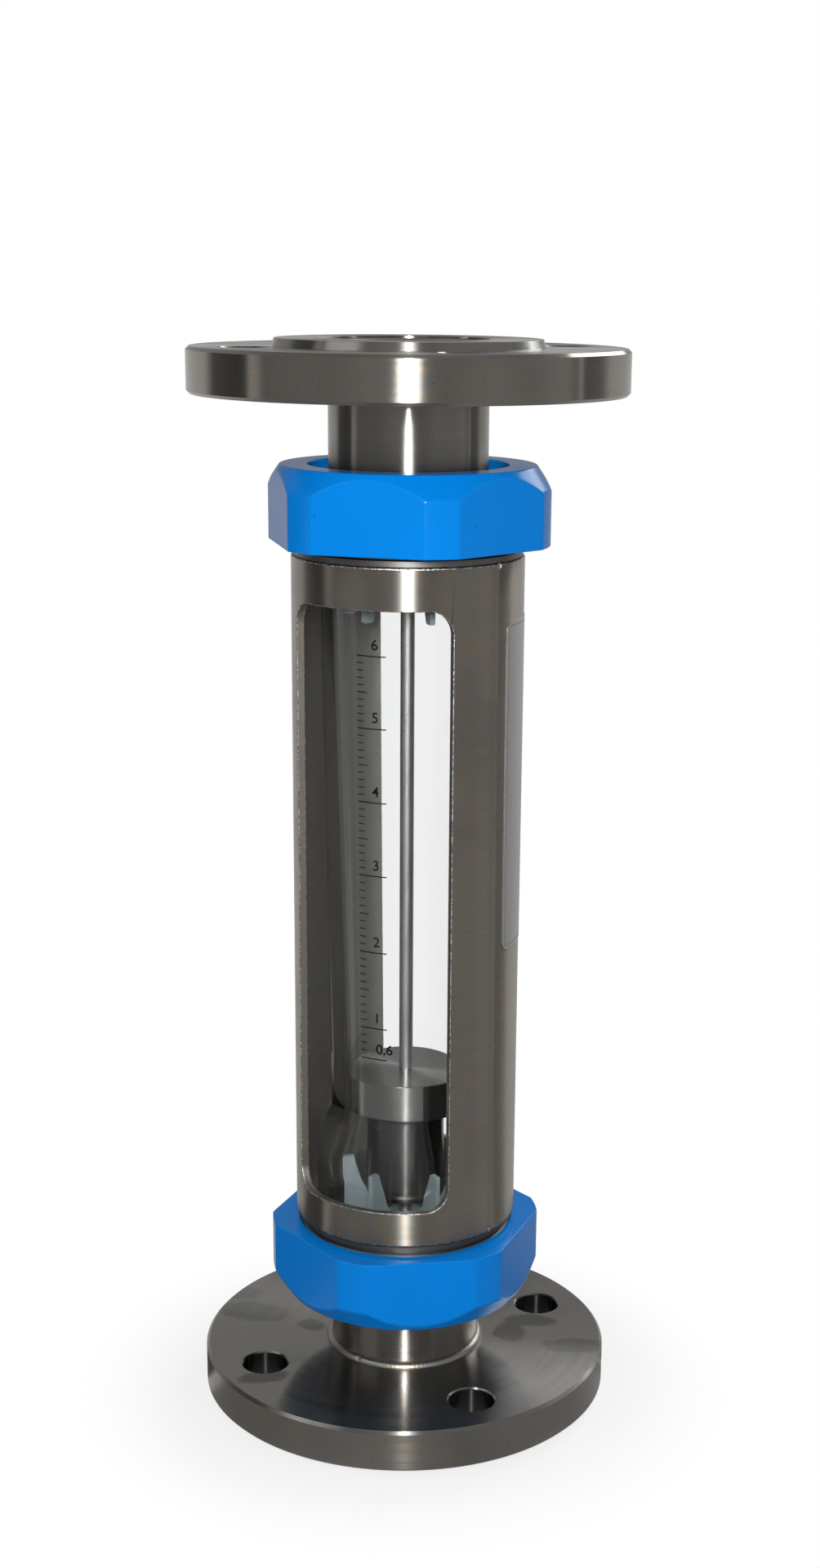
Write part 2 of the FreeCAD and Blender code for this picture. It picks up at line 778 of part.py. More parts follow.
def build_float_stop(doc, end):
    """Moulded crown: seat rim, guide ring, hub for the rod and six upright fins.

    Each fin has an upright outer edge and a sloping inner one, so the fins cradle the
    float's lower edge and stop its head at the top.
    """
    seat = end.seat
    rim = "glass_end_diameter / 2 + 2 * fit_gap"
    ring = "stop_ring_diameter / 2"
    ring_bore = "stop_ring_bore / 2"
    section = end.outline([
        (ring_bore, seat),
        (rim, seat),
        (rim, f"{seat} + stop_rim_height"),
        (ring, f"{seat} + stop_rim_height"),
        (ring, f"{seat} + stop_ring_height"),
        (ring_bore, f"{seat} + stop_ring_height"),
    ])
    body = turned_body(doc, end.label("float_stop"), section, end.size("stop_turn"))

    fin = new_sketch(body, "fin", "XZ_Plane")
    hub = "stop_hub_diameter / 2"
    foot = f"{seat} + stop_hub_start"
    tip = f"{seat} + stop_fin_height"
    draw_outline(fin, end.outline([
        (f"{hub} - stop_fin_thickness", foot),
        (f"{ring_bore} + stop_ring_wall / 2", foot),
        (f"{ring_bore} + stop_ring_wall / 2", f"{seat} + stop_ring_height"),
        ("stop_fin_radius", f"{seat} + stop_ring_height"),
        ("stop_fin_radius", tip),
        ("stop_fin_radius - stop_tip_width", tip),
        ("stop_cradle_radius", f"{seat} + stop_cradle_height"),
        (hub, f"{seat} + stop_hub_height"),
        (f"{hub} - stop_fin_thickness", f"{seat} + stop_hub_height"),
    ]))
    pad = body.newObject("PartDesign::Pad", f"{body.Name}_fin_pad")
    pad.Profile = fin
    pad.Midplane = True
    pad.setExpression("Length", bound("stop_fin_thickness"))
    plan = new_sketch(body, "hub_plan", "XY_Plane")
    draw_circle(plan, "0", "0", "stop_hub_diameter")
    pattern_about_axis(body, pad, plan, "stop_fin_count")

    hub_sketch = new_sketch(body, "hub", "XZ_Plane")
    rod_hole = "rod_diameter / 2 + fit_gap"
    draw_outline(hub_sketch, end.outline([
        (rod_hole, foot),
        (hub, foot),
        (hub, f"{seat} + stop_hub_height"),
        (rod_hole, f"{seat} + stop_hub_height"),
    ]))
    revolve(body, hub_sketch, "hub_turning")
    tip_height = value_of(doc, end.height(tip))
    thickness = value_of(doc, "stop_fin_thickness")

    def is_tip_corner(edge):
        box = edge.BoundBox
        at_tip = abs(box.ZMin - tip_height) < NEAR and abs(box.ZMax - tip_height) < NEAR
        return at_tip and edge.Length < thickness + NEAR

    dress_edges(body, "Fillet", is_tip_corner, "stop_tip_rounding")
    return body


# Guide rod with its nuts and washers


def rod_nut_near(end):
    """Inset of the rod nut's face that looks at the flange."""
    return f"{end.seat} + stop_hub_start - rod_washer_thickness - rod_nut_height"


def build_guide_rod(doc, lower, upper):
    radius = "rod_diameter / 2"
    low = f"{rod_nut_near(lower)} - rod_overhang"
    high = f"overall_length - ({rod_nut_near(upper)} - rod_overhang)"
    return turned_body(doc, "guide_rod", [
        ("0", low),
        (f"{radius} - rod_chamfer", low),
        (radius, f"{low} + rod_chamfer"),
        (radius, f"{high} - rod_chamfer"),
        (f"{radius} - rod_chamfer", high),
        ("0", high),
    ])


def build_rod_nut(doc, end):
    """Small hexagon nut that holds the rod in the float stop's hub."""
    label = end.label("rod_nut")
    near = rod_nut_near(end)
    low = end.low(near, f"{near} + rod_nut_height")
    hexagon = hexagon_bar(doc, f"{label}_hexagon", "rod_nut_width", "rod_nut_height")
    bore = doc.addObject("Part::Cylinder", f"{label}_bore")
    bore.setExpression("Radius", bound("rod_diameter / 2 + fit_gap / 2"))
    bore.setExpression("Height", bound("rod_nut_height"))
    nut = doc.addObject("Part::Cut", label)
    nut.Label = label
    nut.Base = hexagon
    nut.Tool = bore
    nut.setExpression("Placement.Base.z", bound(low))
    return nut


def build_rod_washer(doc, end):
    near = f"{rod_nut_near(end)} + rod_nut_height"
    return turned_body(doc, end.label("rod_washer"), end.outline([
        ("rod_diameter / 2 + 2 * fit_gap", near),
        ("rod_washer_diameter / 2", near),
        ("rod_washer_diameter / 2", f"{near} + rod_washer_thickness"),
        ("rod_diameter / 2 + 2 * fit_gap", f"{near} + rod_washer_thickness"),
    ]))


# Float


def build_float(doc):
    """Solid turned float: a flat-topped head over a plain body, bored for the rod."""
    bore = "rod_diameter / 2 + float_bore_clearance"
    body_radius = "float_body_diameter / 2"
    head_radius = "float_head_diameter / 2"
    body = turned_body(doc, "float", [
        (bore, "float_bottom"),
        (f"{body_radius} - float_bottom_chamfer", "float_bottom"),
        (body_radius, "float_bottom + float_bottom_bevel"),
        (body_radius, "float_neck_height"),
        (f"{head_radius} - float_underside_bevel", "float_neck_height + float_neck_rounding"),
        (head_radius, "float_head_low"),
        (head_radius, "float_head_top"),
        (bore, "float_head_top"),
    ])
    neck = (value_of(doc, body_radius), value_of(doc, "float_neck_height"))
    dress_edges(body, "Fillet", lambda edge: is_ring(edge, *neck), "float_neck_rounding")
    rim = (value_of(doc, head_radius), value_of(doc, "float_head_top"))
    dress_edges(body, "Fillet", lambda edge: is_ring(edge, *rim), "float_edge_rounding")
    return body


# Whole meter


def build_pieces(doc):
    lower = End("lower")
    upper = End("upper")
    ends = [lower, upper]
    pieces = []
    for end in ends:
        pieces.append(build_flange(doc, end))
        pieces.append(build_back_weld(doc, end))
        pieces.append(build_face_weld(doc, end))
        pieces.append(build_stub(doc, end))
        pieces.append(build_union_nut(doc, end))
        pieces.append(build_thread_ring(doc, end))
        pieces.append(build_seal_ring(doc, end))
        pieces.append(build_locating_pin(doc, end))
        pieces.append(build_float_stop(doc, end))
        pieces.append(build_rod_nut(doc, end))
        pieces.append(build_rod_washer(doc, end))
    pieces.append(build_casing(doc, ends))
    pieces.append(build_label(doc))
    pieces.append(build_glass(doc))
    pieces.append(build_guide_rod(doc, lower, upper))
    pieces.append(build_float(doc))
    return pieces


def check_document(doc):
    for item in doc.Objects:
        if "Invalid" in item.State or "Error" in item.State:
            raise RuntimeError(f"{item.Label} failed: {item.State}")


def write_pieces(pieces):
    os.makedirs("parts", exist_ok=True)
    for piece in pieces:
        shape = piece.Shape
        if shape.isNull() or not shape.isValid() or len(shape.Solids) != 1:
            raise RuntimeError(f"{piece.Label} is not one valid solid")
        shape.exportStep(f"parts/{piece.Label}.step")
        print(f"{piece.Label}: {shape.Volume / 1000:.2f} cm3")


def main():
    doc = FreeCAD.newDocument("flow_meter")
    make_sheet(doc)
    pieces = build_pieces(doc)
    doc.recompute()
    check_document(doc)
    write_pieces(pieces)


main()
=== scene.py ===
import math

import bmesh
import bpy
import numpy as np
from bpy.props import FloatProperty, FloatVectorProperty, IntProperty, PointerProperty
from mathutils import Matrix, Vector


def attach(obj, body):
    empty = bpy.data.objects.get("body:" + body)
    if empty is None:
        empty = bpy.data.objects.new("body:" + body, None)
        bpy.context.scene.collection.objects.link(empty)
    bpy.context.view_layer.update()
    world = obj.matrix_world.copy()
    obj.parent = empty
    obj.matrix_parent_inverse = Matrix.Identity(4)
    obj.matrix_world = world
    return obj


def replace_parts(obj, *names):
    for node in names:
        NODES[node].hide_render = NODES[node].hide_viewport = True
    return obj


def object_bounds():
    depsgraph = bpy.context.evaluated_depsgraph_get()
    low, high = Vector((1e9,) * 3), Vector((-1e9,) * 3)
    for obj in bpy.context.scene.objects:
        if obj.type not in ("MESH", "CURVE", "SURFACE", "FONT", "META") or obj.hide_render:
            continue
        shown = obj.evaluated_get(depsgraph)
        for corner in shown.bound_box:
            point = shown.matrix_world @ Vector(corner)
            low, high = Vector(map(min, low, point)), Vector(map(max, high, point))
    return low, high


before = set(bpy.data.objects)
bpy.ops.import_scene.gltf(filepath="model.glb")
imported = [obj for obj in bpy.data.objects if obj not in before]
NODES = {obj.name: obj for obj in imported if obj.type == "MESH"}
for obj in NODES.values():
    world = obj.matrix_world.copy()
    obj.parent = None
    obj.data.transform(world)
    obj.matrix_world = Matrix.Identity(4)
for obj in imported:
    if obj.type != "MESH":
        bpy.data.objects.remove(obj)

bl_info = {
    "name": "Rotameter",
    "version": (1, 0, 0),
    "blender": (4, 5, 0),
    "location": "3D View > Sidebar > Rotameter",
    "description": "Dresses the packed flow meter in its own surfaces and finishes",
    "category": "Object",
}

ENDS = ("lower", "upper")
MM = 0.001
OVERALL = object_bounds()[1].z / MM  # height of the whole meter in mm

# Places that the finishes follow, in metres
RIM_RADIUS = 0.0825
HOLE_CIRCLE, HOLE_RADIUS = 0.0625, 0.009
BACK_FACE = 0.020
CASING_RADIUS = 0.0445
FLOAT_HEAD_BOTTOM = 0.1242

# Turns from +X: each flange's first bolt hole in degrees, and the camera's side in radians
FIRST_HOLES = {"lower": 49.0, "upper": 42.0}
VIEW_TURN = math.radians(-67.0)


# Sizes and colours that a user would change


class NutSettings(bpy.types.PropertyGroup):
    across_flats: FloatProperty(
        name="Across flats", description="Width over the nut's flats in mm", default=100.0)
    across_corners: FloatProperty(
        name="Across corners", description="Width over the turned corners in mm", default=108.8)
    edge: FloatProperty(
        name="Edge rounding", description="Rounding of the painted edges in mm", default=0.42)
    colour: FloatVectorProperty(
        name="Paint", description="Colour of the nut paint", subtype="COLOR", default=(0.0, 0.225, 0.75))


class SteelSettings(bpy.types.PropertyGroup):
    colour: FloatVectorProperty(
        name="Steel", description="Colour of the bare stainless steel", subtype="COLOR",
        default=(0.381, 0.380, 0.377))
    roughness: FloatProperty(
        name="Roughness", description="Roughness of the flanges' faces", default=0.19, subtype="FACTOR")
    smear: FloatProperty(
        name="Smear", description="How far the turning lines stretch a highlight", default=1.0,
        subtype="FACTOR")
    edge: FloatProperty(
        name="Edge rounding", description="Rounding of the casing's window edges in mm", default=0.3)


class WeldSettings(bpy.types.PropertyGroup):
    leg: FloatProperty(
        name="Leg", description="Width of the bead on each side of its corner in mm", default=2.7)
    ripples: IntProperty(name="Ripples", description="Number of ripples round the bead", default=118)
    ripple_height: FloatProperty(
        name="Ripple height", description="Height of a ripple in mm", default=0.035)


class GlassSettings(bpy.types.PropertyGroup):
    bend: FloatProperty(
        name="Bend radius", description="Radius of the bends at the neck in mm", default=28.0)
    shoulder: FloatProperty(
        name="Shoulder radius", description="Radius of the upper bends in mm", default=18.0)
    colour: FloatVectorProperty(
        name="Glass", description="Colour of the glass", subtype="COLOR", default=(0.98, 0.984, 0.984))


class ScaleSettings(bpy.types.PropertyGroup):
    start_turn: FloatProperty(
        name="Start", description="Left end of the lines, in degrees from +X", default=-101.0)
    short_turn: FloatProperty(
        name="Short line", description="Right end of a short line, in degrees", default=-96.0)
    middle_turn: FloatProperty(
        name="Middle line", description="Right end of each fifth line, in degrees", default=-93.4)
    long_turn: FloatProperty(
        name="Long line", description="Right end of a numbered line, in degrees", default=-80.0)
    digit_turn: FloatProperty(
        name="Digits", description="Left end of the digits, in degrees", default=-90.2)
    digit_height: FloatProperty(
        name="Digit height", description="Height of the digits in mm", default=4.1)
    line_width: FloatProperty(
        name="Line width", description="Width of the printed lines in mm", default=0.46)
    colour: FloatVectorProperty(
        name="Ink", description="Colour of the printed scale", subtype="COLOR",
        default=(0.004, 0.004, 0.005))


class StageSettings(bpy.types.PropertyGroup):
    room: FloatVectorProperty(
        name="Room", description="Tint of the room that bare metal mirrors", subtype="COLOR",
        default=(1.0, 0.988, 0.972))
    soft_light: FloatProperty(
        name="Soft light", description="Share of the light that comes from all round", default=0.16,
        subtype="FACTOR")
    flash: FloatProperty(
        name="Flash", description="Share of the light that comes from beside the camera", default=0.62,
        subtype="FACTOR")


class Settings(bpy.types.PropertyGroup):
    nut: PointerProperty(type=NutSettings)
    steel: PointerProperty(type=SteelSettings)
    weld: PointerProperty(type=WeldSettings)
    glass: PointerProperty(type=GlassSettings)
    scale: PointerProperty(type=ScaleSettings)
    stage: PointerProperty(type=StageSettings)


# Shader maths


class Value:
    """A socket in a node tree; +, -, * and / on it add Math nodes."""

    def __init__(self, shader, socket):
        self.shader = shader
        self.socket = socket

    def __add__(self, other):
        return self.shader.maths("ADD", self, other)

    def __sub__(self, other):
        return self.shader.maths("SUBTRACT", self, other)

    def __rsub__(self, other):
        return self.shader.maths("SUBTRACT", other, self)

    def __mul__(self, other):
        return self.shader.maths("MULTIPLY", self, other)

    def __truediv__(self, other):
        return self.shader.maths("DIVIDE", self, other)

    def __rtruediv__(self, other):
        return self.shader.maths("DIVIDE", other, self)

    __radd__ = __add__
    __rmul__ = __mul__


class Shader:
    """Builds the nodes of a material or a world."""

    def __init__(self, owner):
        owner.use_nodes = True
        self.owner = owner
        self.tree = owner.node_tree
        self.tree.nodes.clear()

    def node(self, kind, settings=None, inputs=None, output=0):
        """Adds a node: its settings first, ramp stops included, then values or links."""
        node = self.tree.nodes.new(kind)
        for name, value in (settings or {}).items():
            if name == "stops":
                ramp = node.color_ramp.elements
                while len(ramp) < len(value):
                    ramp.new(1.0)
                for stop, (place, colour) in zip(ramp, value):
                    stop.position = place
                    stop.color = (*colour, 1.0)
            else:
                setattr(node, name, value)
        for name, value in (inputs or {}).items():
            if isinstance(value, Value):
                self.tree.links.new(value.socket, node.inputs[name])
            else:
                node.inputs[name].default_value = value
        return Value(self, node.outputs[output]) if node.outputs else None

    def maths(self, operation, *values):
        """A Math node on values or numbers."""
        return self.node("ShaderNodeMath", {"operation": operation}, dict(enumerate(values)))

    def step(self, value, low, high):
        """0 below low, 1 above high and a smooth step between them."""
        return self.node("ShaderNodeMapRange", {"interpolation_type": "SMOOTHSTEP"},
                         {"Value": value, "From Min": low, "From Max": high})

    def band(self, value, low, high, soft):
        """1 between low and high, 0 outside, with soft edges."""
        return self.step(value, low - soft, low + soft) * (1 - self.step(value, high - soft, high + soft))

    def mix(self, factor, one, other):
        """A colour that goes from one to other."""
        colours = {0: factor, 6: colour4(one), 7: colour4(other)}
        return self.node("ShaderNodeMix", {"data_type": "RGBA"}, colours, 2)

    def join(self, x, y, z):
        """A vector from three numbers."""
        return self.node("ShaderNodeCombineXYZ", None, {0: x, 1: y, 2: z})

    def noise(self, vector, scale, detail=2.0, rough=0.5):
        """Noise between 0 and 1."""
        return self.node("ShaderNodeTexNoise", None,
                         {"Vector": vector, "Scale": scale, "Detail": detail, "Roughness": rough})

    def place(self):
        """Object coordinates."""
        return self.node("ShaderNodeTexCoord", None, None, "Object")

    def parts(self, vector):
        """x, y and z of a vector."""
        outputs = self.node("ShaderNodeSeparateXYZ", None, {0: vector}).socket.node.outputs
        return [Value(self, output) for output in outputs]

    def polar(self, x, y):
        """The radius and the turn of the point x, y."""
        return self.maths("SQRT", x * x + y * y), self.maths("ARCTAN2", y, x)

    def bump(self, height, strength, distance):
        """A normal that follows a height."""
        return self.node("ShaderNodeBump", None,
                         {"Height": height, "Strength": strength, "Distance": distance})

    def principled(self, **inputs):
        """A Principled surface. Underscores in a name stand for spaces."""
        named = {name.replace("_", " "): value for name, value in inputs.items()}
        return self.node("ShaderNodeBsdfPrincipled", None, named)

    def finish(self, surface):
        """The material, with a surface on its output."""
        self.node("ShaderNodeOutputMaterial", None, {"Surface": surface})
        return self.owner


def colour4(colour):
    """A colour with its alpha; a Value stays as it is."""
    return colour if isinstance(colour, Value) else (*colour[:3], 1.0)


def tinted(colour, factor):
    """A colour made lighter or darker by a factor."""
    return tuple(channel * factor for channel in colour)


def new_shader(name):
    """The Shader of a new material."""
    return Shader(bpy.data.materials.new(name))


def metal(name, steel, dark=0.0, roughness=None, smear=None, turning=1.0, wear=1.0, tone=1.0,
          mottle=0.25, shaded_below=0.0, shaded_ends=(), holes=None):
    """Bare steel: fine turning lines in the radius and height, soft smudges, dust specks.

    dark deepens the smudges, turning scales the lines' depth, wear the specks, tone the
    whole colour, and mottle the brown and grey flecks that a brushed tube has. Below the
    height shaded_below the steel is painted darker as shade, and beyond the two shaded_ends
    it is painted almost black as shade, all in metres. holes is the turn of a flange's first
    bolt hole in degrees: the holes' walls are dull and painted nearly black as shade, its rim
    has more flecks, and the lower flange's back has the oval stains of STAINS.
    """
    roughness = steel.roughness if roughness is None else roughness
    smear = steel.smear if smear is None else smear
    fine = min(turning, 1.0)
    shader = new_shader(name)
    where = shader.place()
    x, y, z = shader.parts(where)
    radius, turn = shader.polar(x, y)
    across = shader.join(radius * 5200.0, z * 5200.0, turn * 1.3)
    lines = shader.noise(across, 1.0, 3.0, 0.62)
    bands = shader.noise(shader.join(radius * 520.0, z * 520.0, turn * 0.6), 1.0, 2.0)
    smudge = shader.step(shader.noise(where, 20.0, 3.0, 0.55), 0.46, 0.66)
    flecks = shader.step(shader.noise(where, 560.0, 3.0, 0.65), 0.40, 0.58)
    specks = shader.step(shader.noise(where, 900.0, 1.0), 0.70, 0.78)
    base = tinted(steel.colour, tone)
    brown = (base[0] * 1.2, base[1] * 0.92, base[2] * 0.6)
    cool = (base[0] * 0.86, base[1] * 0.93, base[2] * 0.98)
    if holes is not None:
        mottle = shader.step(radius, RIM_RADIUS - 0.0009, RIM_RADIUS - 0.0005) * 0.35 + mottle
    colour = shader.mix(mottle, base, shader.mix(flecks, cool, brown))
    colour = shader.mix(smudge * (0.2 + dark), colour, tinted(base, 0.62))
    colour = shader.mix((lines - 0.5) * (0.7 * fine) + 0.2, colour, tinted(base, 0.66))
    colour = shader.mix(specks * (0.35 * wear), colour, (0.05, 0.043, 0.035))
    # Painted shade: beyond the two end heights, the casing's ends under the nuts are painted almost black.
    if shaded_ends:
        low, high = shaded_ends
        end_shade = shader.maths("MAXIMUM", shader.step(z, low + 0.0001, low - 0.0001),
                            shader.step(z, high - 0.0001, high + 0.0001))
        colour = shader.mix(end_shade * 0.7, colour, (0.02, 0.019, 0.018))
    # Painted shade: below that height the steel is painted darker, as on the float's body under its head.
    if shaded_below:
        below = shader.step(z, shaded_below + 0.0001, shaded_below - 0.0001)
        colour = shader.mix(below * 0.6, colour, (0.03, 0.03, 0.03))
    rough = roughness + (lines - 0.5) * (0.12 * fine) + (bands - 0.5) * (0.08 * fine) + smudge * 0.05
    if holes is not None:
        wall, stain = hole_walls(shader, radius, turn, holes), stains(shader, where, x, y, z)
        colour = shader.mix(stain * 0.65, colour, tinted(base, 0.3))
        # Painted shade: the bolt holes' walls are painted nearly black, as shade in the recesses.
        colour = shader.mix(wall * 0.75, colour, (0.02, 0.02, 0.021))
        rough = rough + wall * 0.04 + stain * 0.08
    return shader.finish(shader.principled(
        Base_Color=colour, Metallic=1.0, Roughness=rough, Anisotropic=smear, Anisotropic_Rotation=0.25,
        Normal=shader.bump(lines * 0.6 + bands, 0.22 * turning, 0.00002)))


def burr_steel(steel):
    """Bright, uneven metal of a window's filed edges."""
    shader = new_shader("burr_steel")
    nicks = shader.noise(shader.place(), 900.0, 3.0, 0.7)
    colour = shader.mix(shader.step(nicks, 0.42, 0.62), tinted(steel.colour, 0.6), tinted(steel.colour, 2.1))
    return shader.finish(shader.principled(
        Base_Color=colour, Metallic=1.0, Roughness=0.3 + nicks * 0.2,
        Normal=shader.bump(nicks, 0.8, 0.0003)))


# Stains on the lower flange's back: middle x and y, half length, half width in mm, tilt in degrees
STAINS = (
    (-66.0, -9.0, 17.0, 9.5, 8.0), (-80.0, 3.0, 11.0, 6.5, 30.0), (-38.5, -10.0, 7.0, 6.0, -20.0),
    (40.0, 18.0, 9.5, 7.5, -60.0), (69.0, 17.0, 17.0, 6.5, 23.0), (44.0, 31.0, 12.0, 6.0, 20.0),
    (-36.0, -58.0, 13.0, 5.0, 40.0),
)


def stains(shader, where, x, y, z):
    """1 inside the stains, which are soft and frayed at their edges.

    Each is an ellipse: the root of u squared and v squared is below 1, where u and v are
    the distances along and across it over its half length and half width.
    """
    fray = (shader.noise(where, 110.0, 3.0) - 0.5) * 0.9
    total = 0.0
    for across, along, length, width, tilt in STAINS:
        cos, sin = math.cos(math.radians(tilt)), math.sin(math.radians(tilt))
        far_x, far_y = x - across * MM, y - along * MM
        u = (far_x * cos + far_y * sin) / (length * MM)
        v = (far_y * cos - far_x * sin) / (width * MM)
        inside = 1 - shader.step(shader.maths("SQRT", u * u + v * v) + fray, 0.7, 1.1)
        total = shader.maths("MAXIMUM", inside, total)
    return total * shader.band(z, BACK_FACE - 0.0005, BACK_FACE + 0.0005, 0.0002)


def hole_walls(shader, radius, turn, first):
    """1 within the four bolt holes, the first of which lies at the turn first in degrees."""
    offset = shader.maths("WRAP", turn - math.radians(first), math.pi / 4, -math.pi / 4)
    along = radius * shader.maths("COSINE", offset) - HOLE_CIRCLE
    across = radius * shader.maths("SINE", offset)
    away = shader.maths("SQRT", along * along + across * across)
    return 1 - shader.step(away, HOLE_RADIUS + 0.0001, HOLE_RADIUS + 0.0003)


# Surfaces


def rounded_outline(corners):
    """Closed outline with round corners.

    corners are (radius from the axis, height, rounding) in mm. A corner's arc is a Bezier
    curve between two points on its sides. They lie one rounding away, or for a bend wider
    than 1 mm its radius over the tangent of half the corner's angle. A point is added
    outside each end, so that the straight run beside it keeps its own direction.
    """
    places = np.array([corner[:2] for corner in corners], float)
    roundings = [corner[2] for corner in corners]
    t = np.linspace(0.0, 1.0, 7)[:, None]
    rows = []
    neighbours = np.roll(places, 1, 0), places, np.roll(places, -1, 0)
    for before, here, after, rounding in zip(*neighbours, roundings):
        if rounding <= 0:
            rows.append(here[None])
            continue
        back = (before - here) / np.linalg.norm(before - here)
        ahead = (after - here) / np.linalg.norm(after - here)
        half = math.acos(np.clip(back @ ahead, -1.0, 1.0)) / 2
        reach = rounding / math.tan(half) if rounding > 1 else rounding
        start, end = here + back * reach, here + ahead * reach
        arc = start * (1 - t) ** 2 + 2 * here * t * (1 - t) + end * t ** 2
        extra = min(0.5 * reach, 0.8)
        rows.append(np.vstack([start + back * extra, arc, end + ahead * extra]))
    return np.vstack(rows)


def split_runs(outline, longest):
    """The outline with points added so that no run is longer than longest."""
    rows = []
    for here, after in zip(outline, np.roll(outline, -1, 0)):
        count = max(1, int(np.ceil(np.linalg.norm(after - here) / longest)))
        share = np.arange(count)[:, None] / count
        rows.append(here + (after - here) * share)
    return np.vstack(rows)


def mesh_points(mesh):
    """A mesh's points as rows x, y, z."""
    points = np.empty(len(mesh.vertices) * 3)
    mesh.vertices.foreach_get("co", points)
    return points.reshape(-1, 3)


def around(radius, turn, height):
    """Points (radius cos turn, radius sin turn, height) as rows."""
    places = np.broadcast_arrays(radius * np.cos(turn), radius * np.sin(turn), height)
    return np.stack(places, -1).reshape(-1, 3)


def even_turns(columns):
    """Even steps round the axis."""
    return np.arange(columns) * (2 * np.pi / columns)


def add_object(name, data):
    """A new object in the scene."""
    item = bpy.data.objects.new(name, data)
    bpy.context.scene.collection.objects.link(item)
    return item


def add_piece(mesh):
    """An object with its mesh's name, riding on the meter."""
    piece = add_object(mesh.name, mesh)
    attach(piece, "meter")
    return piece


def mesh_piece(name, points, faces, material):
    """A smooth piece from points in mm and faces."""
    mesh = bpy.data.meshes.new(name)
    mesh.from_pydata((np.asarray(points, float) * MM).tolist(), [], np.asarray(faces).tolist())
    mesh.shade_smooth()
    mesh.materials.append(material)
    mesh.update()
    return add_piece(mesh)


def grid_faces(rows, columns, close_rows=True, close_columns=True):
    """Quads of a rows by columns grid, wrapped where it is closed."""
    row = np.arange(rows if close_rows else rows - 1)
    column = np.arange(columns if close_columns else columns - 1)
    a, b = np.meshgrid(row, column, indexing="ij")
    a, b = a.ravel(), b.ravel()
    after, beside = (a + 1) % rows, (b + 1) % columns
    return np.stack([a * columns + b, a * columns + beside, after * columns + beside, after * columns + b], 1)


def facing_out(points, faces):
    """The faces, turned round if the volume that they close comes out negative.

    The volume is the sum of a . (b x c) + a . (c x d) over the quads a, b, c, d.
    """
    a, b, c, d = (points[faces[:, corner]] for corner in range(4))
    volume = (a * (np.cross(b, c) + np.cross(c, d))).sum()
    return faces if volume > 0 else faces[:, ::-1]


def swept_piece(name, radii, heights, material):
    """A closed ring: row i of radii and heights is one point of the section all the way round.

    A point lies at (radius cos a, radius sin a, height) for even steps of the turn a.
    """
    rows, columns = radii.shape
    points = around(radii, even_turns(columns), heights)
    faces = facing_out(points, grid_faces(rows, columns))
    return mesh_piece(name, points, faces, material)


def turned_piece(name, outline, columns, material):
    """A turned piece from the closed outline (radius, height)."""
    radii = np.repeat(outline[:, :1], columns, 1)
    heights = np.repeat(outline[:, 1:], columns, 1)
    return swept_piece(name, radii, heights, material)


def at_end(end, inset):
    """Height of an inset from the meter's end, or the inset of a height."""
    return inset if end == "lower" else OVERALL - inset


def dress(node, material):
    """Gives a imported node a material."""
    mesh = NODES[node].data
    mesh.materials.clear()
    mesh.materials.append(material)
    mesh.polygons.foreach_set("material_index", np.zeros(len(mesh.polygons), np.int32))


def edged_copy(node, name, materials, width):
    """Puts a copy of a packed tube in its place, with its doubles merged and its sharp edges rounded.

    materials are those of the outer wall, the inner wall, the faces across the wall and
    the rounded edges.
    """
    mesh = NODES[node].data.copy()
    shape = bmesh.new()
    shape.from_mesh(mesh)
    bmesh.ops.remove_doubles(shape, verts=shape.verts, dist=1e-6)
    bmesh.ops.dissolve_limit(shape, angle_limit=math.radians(0.3), verts=shape.verts, edges=shape.edges)
    shape.to_mesh(mesh)
    shape.free()
    mesh.materials.clear()
    for material in materials:
        mesh.materials.append(material)
    mesh.polygons.foreach_set("material_index", tube_slots(mesh))
    mesh.shade_smooth()
    mesh.set_sharp_from_angle(angle=math.radians(30))
    sharp = add_object("sharp", mesh)
    bevel = sharp.modifiers.new("edges", "BEVEL")
    bevel.width = width * MM
    bevel.segments = 2
    bevel.limit_method = "ANGLE"
    bevel.angle_limit = math.radians(40)
    bevel.use_clamp_overlap = False
    bevel.material = len(materials) - 1
    normals = sharp.modifiers.new("normals", "WEIGHTED_NORMAL")
    normals.keep_sharp = True
    depsgraph = bpy.context.evaluated_depsgraph_get()
    rounded = bpy.data.meshes.new_from_object(sharp.evaluated_get(depsgraph))
    rounded.name = name
    straighten_walls(rounded)
    bpy.data.objects.remove(sharp)
    bpy.data.meshes.remove(mesh)
    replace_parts(add_piece(rounded), node)


def corner_points(mesh):
    """The point of each face corner in metres, and its radius from the axis."""
    corners = np.empty(len(mesh.loops), np.int32)
    mesh.loops.foreach_get("vertex_index", corners)
    points = mesh_points(mesh)[corners]
    return points, np.hypot(points[:, 0], points[:, 1])


def tube_slots(mesh):
    """Material slots of a tube's faces: 0 outside, 1 on the inner wall, 2 across the wall.

    A face is on the inner wall where all its corners are within 0.2 mm of the smallest
    radius, and across the wall where their radii differ by more than 2 mm.
    """
    radius = corner_points(mesh)[1]
    starts = np.empty(len(mesh.polygons), np.int32)
    mesh.polygons.foreach_get("loop_start", starts)
    widest, narrowest = np.maximum.reduceat(radius, starts), np.minimum.reduceat(radius, starts)
    slots = np.where(widest < radius.min() + 0.0002, 1, np.where(widest - narrowest > 0.002, 2, 0))
    return slots.astype(np.int32)


